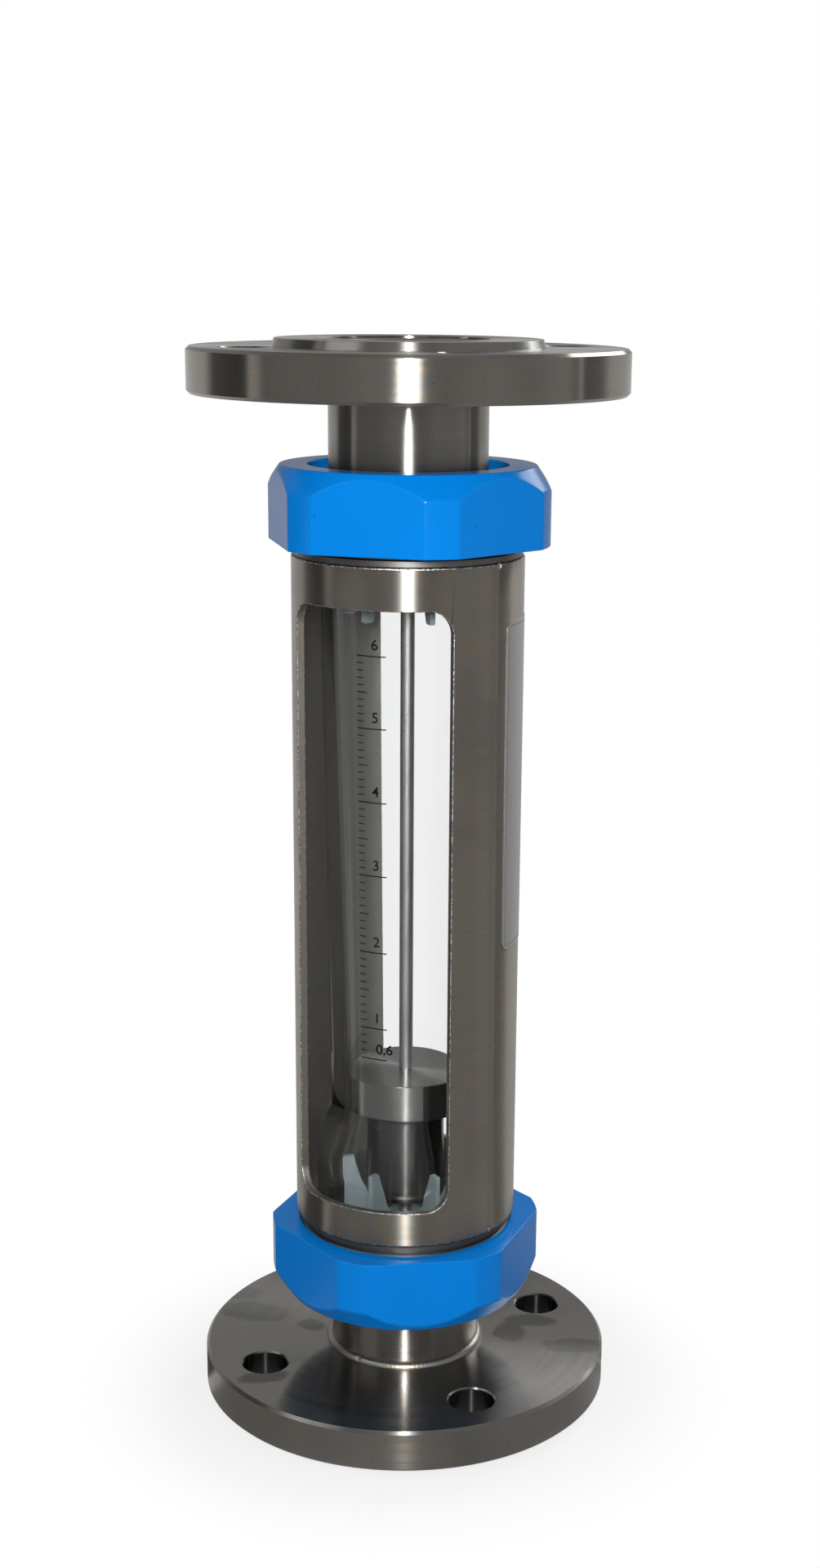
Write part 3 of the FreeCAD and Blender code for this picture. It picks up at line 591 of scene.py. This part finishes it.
def straighten_walls(mesh):
    """Points the normals of a tube's walls straight away from its axis, or straight at it inside.

    A wall's corner lies within 0.02 mm of the largest or the smallest radius. Its normal
    is (x, y, 0) over the radius, with the sign of its wall.
    """
    points, radius = corner_points(mesh)
    normals = np.empty(len(mesh.loops) * 3)
    mesh.corner_normals.foreach_get("vector", normals)
    normals = normals.reshape(-1, 3)
    outward = points * (1.0, 1.0, 0.0) / radius[:, None]
    for wall, sign in ((radius > radius.max() - 2e-5, 1.0), (radius < radius.min() + 2e-5, -1.0)):
        normals[wall] = outward[wall] * sign
    mesh.normals_split_custom_set(normals.tolist())


def node_points(node):
    """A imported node's points in mm."""
    return mesh_points(NODES[node].data) / MM


# Union nuts


def soft_least(a, b, soft):
    """The smaller of a and b, rounded off over about soft where they are near."""
    gap = np.clip(0.5 + 0.5 * (b - a) / soft, 0.0, 1.0)
    return b + (a - b) * gap - soft * gap * (1 - gap)


def nut_paint(settings):
    """Sprayed blue paint: glossy, with orange peel and small dark specks in it.

    Its colour holds painted shade for mirrored rays: bare steel beside it mirrors it darker, as its shaded
    side.
    """
    shader = new_shader("nut_paint")
    where = shader.place()
    peel = shader.noise(where, 950.0, 1.5)
    waves = shader.noise(where, 190.0, 1.0)
    dust = shader.step(shader.noise(where, 700.0, 0.0), 0.85, 0.88)
    tone = shader.noise(where, 34.0, 3.0)
    colour = shader.mix(tone, tinted(settings.colour, 0.94), tinted(settings.colour, 1.05))
    colour = shader.mix(dust * 0.6, colour, (0.003, 0.05, 0.14))
    # Painted shade: the paint turns dark to mirrored rays, standing in for its shaded side in the steel
    # beside it.
    colour = shader.mix(ray_kinds(shader)[1] * 0.8, colour, (0.01, 0.03, 0.045))
    return shader.finish(shader.principled(
        Base_Color=colour, Metallic=0.0, Roughness=0.2 + (tone - 0.5) * 0.10, IOR=1.5,
        Specular_IOR_Level=0.24, Specular_Tint=(0.72, 1.0, 0.96, 1.0),
        Normal=shader.bump(peel * 0.4 + waves, 0.3, 0.00006)))


def corner_turn(node):
    """Turn of one of a hexagon's corners, from the points within 0.02 mm of the outermost."""
    points = node_points(node)
    radius = np.hypot(points[:, 0], points[:, 1])
    far = points[radius > radius.max() - 0.02]
    angle = np.arctan2(far[:, 1], far[:, 0])
    return float(np.angle(np.exp(6j * angle).mean())) / 6


def build_nut(end, settings, material):
    """One union nut as a grid of its section by its turn.

    Outside, the radius is the smallest of three, softly joined: the turned corners, the
    flats' distance over the cosine of the angle from a flat's middle, and the cone that
    is turned on the end towards the flange. Rounded edges are quarter circles. Rows run
    close together down the side as far as the cone reaches.
    """
    node = f"{end}_union_nut"
    points = node_points(node)
    insets = at_end(end, points[:, 2])
    near, far = insets.min(), insets.max()
    height = far - near
    corner_radius = settings.across_corners / 2
    edge = settings.edge
    columns = 960
    turn = even_turns(columns) - corner_turn(node)
    wrapped = (turn + np.pi / 6) % (np.pi / 3) - np.pi / 6
    flats = settings.across_flats / 2 / np.cos(np.abs(wrapped) - np.pi / 6)

    cone_rise, cone_depth = 5.9, 8.7

    def outside(depth):
        """The outer radius at a depth from the near face."""
        cone = corner_radius - cone_rise + depth * cone_rise / cone_depth
        bar = soft_least(flats, corner_radius + 0 * flats, 0.6 * edge)
        return soft_least(bar, cone + 0 * flats, 0.6 * edge)

    hole, bore, lip = 38.0, 43.3, 6.5
    quarter = np.linspace(0, np.pi / 2, 7)
    fall, rise = edge * (1 - np.cos(quarter)), edge * (1 - np.sin(quarter))
    near_width, far_width = outside(0.0) - hole - 2 * edge, outside(height) - bore - 2 * edge
    side = np.concatenate([np.linspace(edge + 0.2, 12.0, 18), np.linspace(13.0, height - edge - 0.3, 6)])
    rows = [(hole, lip - edge), (hole, edge + 0.4)]
    rows += [(hole + a, b) for a, b in zip(fall, rise)]
    rows += [(hole + edge + near_width * share, 0.0) for share in (0.05, 0.5, 0.95)]
    rows += [(outside(a) - b, a) for a, b in zip(fall, rise)]
    rows += [(outside(depth), depth) for depth in side]
    rows += [(outside(height) - a, height - b) for a, b in zip(fall, rise)]
    rows += [(bore + edge + far_width * share, height) for share in (0.95, 0.5, 0.05)]
    rows += [(bore + b, height - a) for a, b in zip(fall, rise)]
    rows += [(bore, height - edge - 0.4), (bore, lip + 0.3), (bore - 0.3, lip), (hole + 0.3, lip)]
    radii = np.array([row + 0 * flats for row, _ in rows])
    heights = np.array([np.full(columns, at_end(end, near + depth)) for _, depth in rows])
    piece = swept_piece(f"{end}_painted_nut", radii, heights, material)
    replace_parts(piece, node)


# Weld beads


def weld_metal(steel):
    """Bead with heat colours: straw and faint blue beside bright steel, in long patches."""
    shader = new_shader("weld_metal")
    where = shader.place()
    x, y, z = shader.parts(where)
    radius, turn = shader.polar(x, y)
    tint = shader.noise(shader.join(radius * 60.0, z * 60.0, turn * 4.0), 1.0, 3.0)
    grain = shader.noise(where, 1600.0, 2.0)
    heat = shader.node("ShaderNodeValToRGB", {"stops": [
        (0.0, tinted(steel.colour, 1.1)), (0.45, tinted(steel.colour, 1.0)), (0.66, (0.44, 0.38, 0.30)),
        (0.8, (0.30, 0.30, 0.33))]}, {"Fac": tint})
    return shader.finish(shader.principled(
        Base_Color=heat, Metallic=1.0, Roughness=0.26 + grain * 0.14,
        Normal=shader.bump(grain, 0.3, 0.00003)))


def build_bead(end, settings, material):
    """The bead round the pipe on the flange's back.

    Its section is a quarter arc bulging from the corner. The bulge is raised by pointed
    ripples round the turn, |sin| of half the ripple angle, sways slowly with two slow
    sines, and dips where the weld starts and ends.
    """
    columns = 1440
    turn = even_turns(columns)
    ripple = settings.ripple_height * np.abs(np.sin(settings.ripples / 2 * turn + 0.7 * np.sin(3 * turn)))
    sway = 0.10 * np.sin(5 * turn + 1.0) + 0.07 * np.sin(11 * turn + 2.0)
    from_start = (turn - VIEW_TURN % (2 * np.pi) + 0.62 + np.pi) % (2 * np.pi) - np.pi
    start = np.exp(-(from_start / 0.035) ** 2)
    leg = settings.leg - 0.25 + sway
    bulge = 0.92 + (ripple - 0.32 * start) / settings.leg
    radius, back = 30.1, 19.95
    t = np.linspace(0.0, np.pi / 2, 14)
    shape = 1 + (bulge[None] - 1) * np.sin(2 * t)[:, None]
    out = leg * np.sin(t)[:, None] * shape
    up = leg * np.cos(t)[:, None] * shape
    radii = radius + np.vstack([np.zeros((1, columns)), up])
    insets = back + np.vstack([np.zeros((1, columns)), out])
    heights = at_end(end, insets)
    piece = swept_piece(f"{end}_weld_bead", radii, heights, material)
    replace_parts(piece, f"{end}_back_weld")


# Glass tube and its scale


def clear_glass(settings):
    """Clear glass that lets the lamps through, with the faint ripples of drawn tube."""
    shader = new_shader("tube_glass")
    x, y, z = shader.parts(shader.place())
    drawn = shader.noise(shader.join(x * 30.0, y * 30.0, z * 9.0), 1.0, 2.0)
    glass = shader.principled(
        Base_Color=(*settings.colour, 1.0), Roughness=0.0, IOR=1.47, Transmission_Weight=1.0,
        Normal=shader.bump(drawn, 0.12, 0.0004))
    clear = shader.node("ShaderNodeBsdfTransparent", None, {"Color": (0.96, 0.97, 0.965, 1.0)})
    shadow = shader.node("ShaderNodeLightPath", None, None, "Is Shadow Ray")
    return shader.finish(shader.node("ShaderNodeMixShader", None, {0: shadow, 1: glass, 2: clear}))


# The glass's outer radius and height in mm, at the neck's top and where the top flare begins
NECK, CONE_TOP = (29.9, 123.7), (33.5, 340.0)


def glass_outline(bend, shoulder):
    """Section of the measuring tube: flared ends, a neck and a cone that widens upwards."""
    return rounded_outline([
        (29.6, 60.2, 0.5), (35.2, 60.2, 0.3), (36.0, 61.0, 0.3), (36.0, 107.7, bend),
        (*NECK, bend), (*CONE_TOP, shoulder), (36.0, 348.0, shoulder), (36.0, 361.5, 0.3),
        (35.2, 362.3, 0.3), (29.6, 362.3, 0.5), (29.6, 340.0, 0.3), (23.5, 139.2, 0.3),
        (23.5, 119.2, bend), (29.6, 103.2, bend),
    ])


def surface_radius(height):
    """Outer radius of the glass between its neck and its top flare."""
    return np.interp(height, [NECK[1], CONE_TOP[1]], [NECK[0], CONE_TOP[0]])


def ink(settings):
    """Printed black ink, slightly worn, so that the glass shows through in fine flecks."""
    shader = new_shader("scale_ink")
    fleck = shader.noise(shader.place(), 3500.0, 1.0)
    colour = shader.mix(fleck, settings.colour, tinted(settings.colour, 2.4))
    return shader.finish(shader.principled(
        Base_Color=colour, Roughness=0.5 + fleck * 0.2, Specular_IOR_Level=0.05,
        Normal=shader.bump(fleck, 0.1, 0.00001)))


# Height in mm of each numbered line
MARKS = {"0,6": 151.8, "1": 164.5, "2": 195.6, "3": 226.3, "4": 255.2, "5": 283.7, "6": 311.2}


def scale_lines(settings):
    """Height and right end of each line: the numbered ones, then those that part the gaps.

    Four parts lie below the line 1, and ten between each two lines above it.
    """
    heights = list(MARKS.values())
    lines = [(height, settings.long_turn) for height in heights]
    firsts = np.linspace(heights[0], heights[1], 5)[1:-1]
    lines += [(height, settings.short_turn) for height in firsts]
    for low, high in zip(heights[1:], heights[2:]):
        for part in range(1, 10):
            right = settings.middle_turn if part == 5 else settings.short_turn
            lines.append((low + (high - low) * part / 10, right))
    return lines


def build_scale_lines(settings, material):
    """Each line is a curved strip on the glass: an even grid in the turn, four corners high.

    A point lies at the glass's radius plus a thin ink layer, at its own turn and height.
    section gives the corners: the share of the line's width, and mm above the glass.
    """
    steps = 12
    share = np.linspace(0.0, 1.0, steps)
    points, faces = [], []
    section = np.array([(-0.5, 0.01), (-0.5, 0.05), (0.5, 0.05), (0.5, 0.01)])
    single = grid_faces(4, steps, True, False)
    corners = np.arange(4) * steps
    caps = np.array([corners, np.roll(corners[::-1], 1) + steps - 1])
    for number, (height, right) in enumerate(scale_lines(settings)):
        width = settings.line_width * (1.0 if right == settings.long_turn else 0.8)
        turn = np.radians(settings.start_turn + (right - settings.start_turn) * share)[None]
        level = height + section[:, :1] * width + 0 * turn
        radius = surface_radius(level) + section[:, 1:]
        points.append(around(radius, turn, level))
        faces.append(np.vstack([single, caps]) + number * 4 * steps)
    points, faces = np.vstack(points), np.vstack(faces)
    mesh_piece("scale_lines", points, facing_out(points, faces), material)


def build_digits(settings, material):
    """Plain digits, laid flat as text and then bent round the glass.

    A point's x becomes a turn, x over the glass's radius, and its y a height. A digit is
    0.72 as high as the text's size, and the number with a comma starts further right.
    """
    for text, height in MARKS.items():
        curve = bpy.data.curves.new("digit", "FONT")
        curve.body = text
        curve.size = settings.digit_height / 0.72
        curve.extrude = 0.02
        curve.offset = 0.07
        letter = bpy.data.objects.new("digit", curve)
        mesh = bpy.data.meshes.new_from_object(letter)
        bpy.data.objects.remove(letter)
        points = mesh_points(mesh)
        level = height + 2.4 + points[:, 1]
        radius = surface_radius(level) + 0.035 + points[:, 2]
        left = settings.digit_turn + (1.6 if len(text) > 1 else 0.0)
        turn = math.radians(left) + points[:, 0] / surface_radius(height)
        mesh.vertices.foreach_set("co", (around(radius, turn, level) * MM).ravel())
        mesh.materials.append(material)
        mesh.name = "digit_" + text.replace(",", "_")
        add_piece(mesh)


# Other finishes


def stop_plastic():
    """Moulded plastic, milky with a blue cast, slightly uneven where it flowed."""
    shader = new_shader("stop_plastic")
    x, y, z = shader.parts(shader.place())
    flow = shader.noise(shader.join(x * 90.0, y * 90.0, z * 25.0), 1.0, 3.0)
    colour = shader.mix(flow, (0.12, 0.155, 0.17), (0.21, 0.24, 0.25))
    return shader.finish(shader.principled(
        Base_Color=colour, Roughness=0.34 + flow * 0.16, IOR=1.5, Transmission_Weight=0.12,
        Normal=shader.bump(flow, 0.15, 0.0001)))


def seal_rubber():
    """Black rubber cord with a dull skin."""
    shader = new_shader("seal_rubber")
    skin = shader.noise(shader.place(), 1200.0, 2.0)
    colour = shader.mix(skin, (0.012, 0.012, 0.012), (0.035, 0.034, 0.032))
    return shader.finish(shader.principled(
        Base_Color=colour, Roughness=0.62 + skin * 0.2, Normal=shader.bump(skin, 0.4, 0.00004)))


def label_foil(node):
    """Matt silver foil with a thin border line, bare of print.

    The line follows a rectangle with round corners, set in from the label's edges.
    """
    shader = new_shader("label_foil")
    where = shader.place()
    x, y, z = shader.parts(where)
    turn = shader.maths("ARCTAN2", y, x)
    points = node_points(node)
    low, high = points[:, 2].min() * MM, points[:, 2].max() * MM
    turns = np.arctan2(points[:, 1], points[:, 0])
    first, last = float(turns.min()), float(turns.max())
    inset = 0.0016
    middle_z, half_z = (low + high) / 2, (high - low) / 2 - inset
    middle_turn, half_turn = (first + last) / 2, (last - first) / 2 - inset / CASING_RADIUS
    out_z = shader.maths("ABSOLUTE", z - middle_z) - half_z
    out_turn = (shader.maths("ABSOLUTE", turn - middle_turn) - half_turn) * CASING_RADIUS
    edge = shader.maths("ABSOLUTE", shader.maths("SMOOTH_MAX", out_z, out_turn, 0.002))
    line = 1 - shader.step(edge, 0.00010, 0.00022)
    grain = shader.noise(shader.join(x * 300.0, y * 300.0, z * 4000.0), 1.0, 2.0)
    crease = shader.noise(where, 60.0, 2.0)
    colour = shader.mix(grain, (0.54, 0.54, 0.535), (0.67, 0.67, 0.66))
    colour = shader.mix(line * 0.85, colour, (0.09, 0.09, 0.09))
    return shader.finish(shader.principled(
        Base_Color=colour, Metallic=1.0 - line * 0.8, Roughness=0.42 + grain * 0.12,
        Normal=shader.bump(crease + grain * 0.1, 0.2, 0.0002)))


# Stage


# Grey of the mirrored room by its bearing in degrees from the camera's side, left negative
ROOM_LEVELS = (
    (-180, 0.56), (-126, 0.56), (-117, 0.11), (-96, 0.08), (-89, 0.10), (-86, 0.5), (-81, 0.42),
    (-77, 0.20), (-45, 0.22), (-20, 0.30), (0, 0.28), (20, 0.24), (40, 0.30), (70, 0.29), (88, 0.34),
    (96, 0.2), (97.5, 0.5), (99, 0.5), (100.5, 0.15), (117, 0.17), (126, 0.44), (180, 0.56),
)


def mirrored_room(shader, direction, room, rise):
    """What bare metal and glass mirror: a dim room, light walls behind, two bright bands.

    Its grey follows the bearing from the camera's side, and behind the meter it falls
    with rise, which goes from 0 at the floor to 1 well above it.
    """
    x, y = shader.parts(direction)[:2]
    bearing = shader.maths("WRAP", shader.maths("ARCTAN2", y, x) - VIEW_TURN, math.pi, -math.pi)
    stops = [(0.5 + angle / 360.0, tinted(room, level)) for angle, level in ROOM_LEVELS]
    light = shader.node("ShaderNodeValToRGB", {"stops": stops}, {"Fac": bearing / (2 * math.pi) + 0.5})
    back = shader.step(shader.maths("ABSOLUTE", bearing), math.radians(112), math.radians(126))
    return shader.mix(back * rise, light, tinted(room, 0.32))


def ray_kinds(shader):
    """1 for rays that see the background, straight or through glass, and 1 for mirrored rays."""
    path = shader.node("ShaderNodeLightPath").socket.node
    names = ("Is Camera Ray", "Is Glossy Ray", "Is Transmission Ray", "Glossy Depth", "Diffuse Depth")
    camera, glossy, through, mirrors, bounces = (Value(shader, path.outputs[name]) for name in names)
    straight = 1 - shader.maths("MINIMUM", mirrors + bounces, 1.0)
    return shader.maths("MAXIMUM", camera, through * straight), glossy * shader.maths("MINIMUM", mirrors, 1.0)


def add_lamp(name, place, target, size, strength, size_y=None):
    """A soft area lamp, itself unseen; strength is its share of a plain white at the meter.

    Its power is the strength times pi squared times the distance squared.
    """
    lamp = bpy.data.lights.new(name, "AREA")
    lamp.shape = "RECTANGLE"
    lamp.size = size
    lamp.size_y = size_y or size
    away = Vector(target) - Vector(place)
    lamp.energy = strength * math.pi * away.length_squared * math.pi
    item = add_object(name, lamp)
    item.matrix_world = Matrix.Translation(place) @ away.to_track_quat("-Z", "Y").to_matrix().to_4x4()
    item.visible_camera = False
    item.visible_transmission = False


def build_camera():
    """The photograph's camera: its place, direction, slight roll, focal length and shift."""
    turn, pitch, roll = math.radians(23.0), math.radians(15.45), math.radians(0.52)
    forward = Vector((-math.sin(turn) * math.cos(pitch), math.cos(turn) * math.cos(pitch), -math.sin(pitch)))
    right = forward.cross(Vector((0, 0, 1))).normalized()
    up = right.cross(forward)
    across = right * math.cos(roll) + up * math.sin(roll)
    upward = up * math.cos(roll) - right * math.sin(roll)
    data = bpy.data.cameras.new("camera")
    data.sensor_width = 36.0
    data.lens = 49.95
    data.shift_x = -0.0221
    data.shift_y = 0.0566
    data.clip_start = 0.01
    camera = add_object("camera", data)
    camera.matrix_world = Matrix.Translation((0.3375, -0.7567, 0.4489)) @ Matrix(
        (across, upward, -forward)).transposed().to_4x4()
    bpy.context.scene.camera = camera
    return camera


def floor_material(settings):
    """White floor that fades to plain white away from the meter; metal sees the room in it."""
    shader = new_shader("floor")
    where = shader.place()
    x, y = shader.parts(where)[:2]
    radius = shader.maths("SQRT", x * x + y * y)
    seen, mirrored = ray_kinds(shader)
    colour = shader.mix(seen, (0.3, 0.3, 0.3), (0.9, 0.9, 0.9))
    paint = shader.node("ShaderNodeBsdfDiffuse", None, {"Color": colour})
    white = shader.node("ShaderNodeEmission", None, {"Color": (1.0, 1.0, 1.0, 1.0), "Strength": 1.0})
    mirrored_colour = mirrored_room(shader, where, settings.room, 0.0)
    room = shader.node("ShaderNodeEmission", None, {"Color": mirrored_colour})
    far = (shader.step(radius, 0.083, 0.14) * 0.25 + 0.75) * seen
    plain = shader.node("ShaderNodeMixShader", None, {0: far, 1: paint, 2: white})
    material = shader.finish(shader.node("ShaderNodeMixShader", None, {0: mirrored, 1: plain, 2: room}))
    material.cycles.emission_sampling = "NONE"
    return material


def build_world(settings):
    """White to the eye and through glass, the room in metal, plain soft light elsewhere."""
    world = bpy.data.worlds.new("studio")
    shader = Shader(world)
    direction = shader.node("ShaderNodeTexCoord", None, None, "Generated")
    seen, mirrored = ray_kinds(shader)
    plain = shader.mix(seen, (settings.soft_light,) * 3, (1.0, 1.0, 1.0))
    rise = shader.step(shader.parts(direction)[2], -0.05, 0.15)
    colour = shader.mix(mirrored, plain, mirrored_room(shader, direction, settings.room, rise))
    light = shader.node("ShaderNodeBackground", None, {"Color": colour})
    shader.node("ShaderNodeOutputWorld", None, {"Surface": light})
    world.cycles.sampling_method = "NONE"
    bpy.context.scene.world = world


def build_floor(settings):
    """A flat round floor: rings of points at even steps of the turn, and a centre."""
    rings = np.array([0.02, 0.5, 2.0, 6.0])
    count, columns = len(rings), 96
    ring = np.arange(columns)
    level = -0.05 * MM
    points = np.vstack([around(rings[:, None], even_turns(columns), level), [[0.0, 0.0, level]]])
    faces = grid_faces(count, columns, False, True)[:, ::-1].tolist()
    faces += np.stack([np.full(columns, count * columns), ring, (ring + 1) % columns], 1).tolist()
    mesh = bpy.data.meshes.new("floor")
    mesh.from_pydata(points.tolist(), [], faces)
    mesh.materials.append(floor_material(settings))
    add_object("floor", mesh)


# Operators


class PieceOperator:
    """What all the operators share."""

    bl_options = {"REGISTER"}

    @property
    def settings(self):
        return bpy.context.scene.rotameter


class ROTAMETER_OT_nuts(PieceOperator, bpy.types.Operator):
    """Makes the two painted union nuts"""

    bl_idname = "rotameter.nuts"
    bl_label = "Union Nuts"

    def execute(self, context):
        material = nut_paint(self.settings.nut)
        for end in ENDS:
            build_nut(end, self.settings.nut, material)
        return {"FINISHED"}


class ROTAMETER_OT_welds(PieceOperator, bpy.types.Operator):
    """Makes the weld beads on the flanges' backs and finishes the ones inside"""

    bl_idname = "rotameter.welds"
    bl_label = "Welds"

    def execute(self, context):
        material = weld_metal(self.settings.steel)
        for end in ENDS:
            build_bead(end, self.settings.weld, material)
            dress(f"{end}_face_weld", material)
        return {"FINISHED"}


class ROTAMETER_OT_steel(PieceOperator, bpy.types.Operator):
    """Finishes the flanges, pipes, rings, casing and small steel pieces"""

    bl_idname = "rotameter.steel"
    bl_label = "Steel"

    def execute(self, context):
        steel = self.settings.steel
        pipe = metal("pipe_steel", steel, roughness=0.24, turning=0.6, mottle=0.4)
        ring = metal("ring_steel", steel, roughness=0.4, smear=0.4, tone=0.6)
        small = metal("small_steel", steel, roughness=0.3, smear=0.4)
        pin = metal("pin_steel", steel, roughness=0.2, smear=0.3, tone=1.6)
        heights = node_points("casing")[:, 2] * MM
        # Heights beyond which the casing's ends are painted almost black as shade
        ends = (heights.min() + 0.0009, heights.max() - 0.0009)
        casing = metal(
            "casing_steel", steel, roughness=0.3, turning=1.4, tone=1.05, mottle=0.8, shaded_ends=ends)
        # Painted shade: the casing's inner wall is a darker copy of its steel, as shade inside the tube.
        inside = metal("casing_inside_shaded", steel, roughness=0.55, smear=0.3, tone=0.46, mottle=0.5)
        cut = metal("casing_cut", steel, roughness=0.35, smear=0.0, mottle=0.8)
        for end in ENDS:
            flange = metal(f"{end}_flange_steel", steel, dark=0.2, mottle=0.3, holes=FIRST_HOLES[end])
            dress(f"{end}_flange", flange)
            dress(f"{end}_stub_pipe", pipe)
            dress(f"{end}_thread_ring", ring)
            dress(f"{end}_rod_nut", small)
            dress(f"{end}_rod_washer", small)
            dress(f"{end}_locating_pin", pin)
        finishes = (casing, inside, cut, burr_steel(steel))
        edged_copy("casing", "window_casing", finishes, steel.edge)
        dress("blank_label", label_foil("blank_label"))
        return {"FINISHED"}


class ROTAMETER_OT_glass(PieceOperator, bpy.types.Operator):
    """Makes the glass tube with its printed scale"""

    bl_idname = "rotameter.glass"
    bl_label = "Glass and Scale"

    def execute(self, context):
        settings = self.settings
        outline = split_runs(glass_outline(settings.glass.bend, settings.glass.shoulder), longest=6.0)
        tube = turned_piece("measuring_glass", outline, 288, clear_glass(settings.glass))
        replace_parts(tube, "glass_tube")
        material = ink(settings.scale)
        build_scale_lines(settings.scale, material)
        build_digits(settings.scale, material)
        return {"FINISHED"}


class ROTAMETER_OT_inside(PieceOperator, bpy.types.Operator):
    """Finishes the float, the guide rod, the float stops and the seals"""

    bl_idname = "rotameter.inside"
    bl_label = "Float and Stops"

    def execute(self, context):
        steel = self.settings.steel
        # The float's body below its head carries painted shade.
        polished = metal(
            "float_steel", steel, roughness=0.23, turning=0.15, mottle=0.1, shaded_below=FLOAT_HEAD_BOTTOM)
        drawn = metal(
            "rod_steel", steel, roughness=0.4, smear=0.0, wear=3.0, tone=1.35, mottle=0.0)
        dress("float", polished)
        dress("guide_rod", drawn)
        plastic = stop_plastic()
        rubber = seal_rubber()
        for end in ENDS:
            dress(f"{end}_float_stop", plastic)
            dress(f"{end}_seal_ring", rubber)
        return {"FINISHED"}


class ROTAMETER_OT_stage(PieceOperator, bpy.types.Operator):
    """Sets up the floor, the studio light, the world and the camera"""

    bl_idname = "rotameter.stage"
    bl_label = "Stage"

    def execute(self, context):
        settings = self.settings.stage
        build_floor(settings)
        build_world(settings)
        camera = build_camera()
        middle = (0.0, 0.0, 0.2)
        behind = camera.location * 1.15 + Vector((0.0, 0.0, 0.1))
        above = camera.location + Vector((0.0, 0.0, 0.06))
        add_lamp("key_light", behind, middle, size=0.2, strength=0.2)
        add_lamp("fill_light", (-1.0, -1.3, 1.5), middle, size=1.0, strength=0.05)
        add_lamp("back_light", (0.5, 1.8, 1.4), middle, size=1.2, strength=0.30)
        add_lamp("flash", above, middle, size=0.03, strength=settings.flash, size_y=0.12)
        return {"FINISHED"}


class ROTAMETER_PT_panel(bpy.types.Panel):
    """Lists the operators and the settings"""

    bl_label = "Rotameter"
    bl_idname = "ROTAMETER_PT_panel"
    bl_space_type = "VIEW_3D"
    bl_region_type = "UI"
    bl_category = "Rotameter"

    def draw(self, context):
        for operator in OPERATORS:
            self.layout.operator(operator.bl_idname)
        for group in Settings.__annotations__:
            box = self.layout.box()
            box.label(text=group.capitalize())
            settings = getattr(context.scene.rotameter, group)
            for name in type(settings).__annotations__:
                box.prop(settings, name)


OPERATORS = (
    ROTAMETER_OT_nuts, ROTAMETER_OT_welds, ROTAMETER_OT_steel, ROTAMETER_OT_glass, ROTAMETER_OT_inside,
    ROTAMETER_OT_stage,
)
CLASSES = (
    NutSettings, SteelSettings, WeldSettings, GlassSettings, ScaleSettings, StageSettings, Settings,
    *OPERATORS, ROTAMETER_PT_panel,
)


def register():
    for item in CLASSES:
        bpy.utils.register_class(item)
    bpy.types.Scene.rotameter = PointerProperty(type=Settings)


def unregister():
    del bpy.types.Scene.rotameter
    for item in reversed(CLASSES):
        bpy.utils.unregister_class(item)


def main():
    """Registers the classes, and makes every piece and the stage."""
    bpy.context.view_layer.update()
    register()
    bpy.context.scene.view_settings.view_transform = "Standard"
    bpy.ops.rotameter.nuts()
    bpy.ops.rotameter.welds()
    bpy.ops.rotameter.steel()
    bpy.ops.rotameter.glass()
    bpy.ops.rotameter.inside()
    bpy.ops.rotameter.stage()


if __name__ == "__main__":
    main()
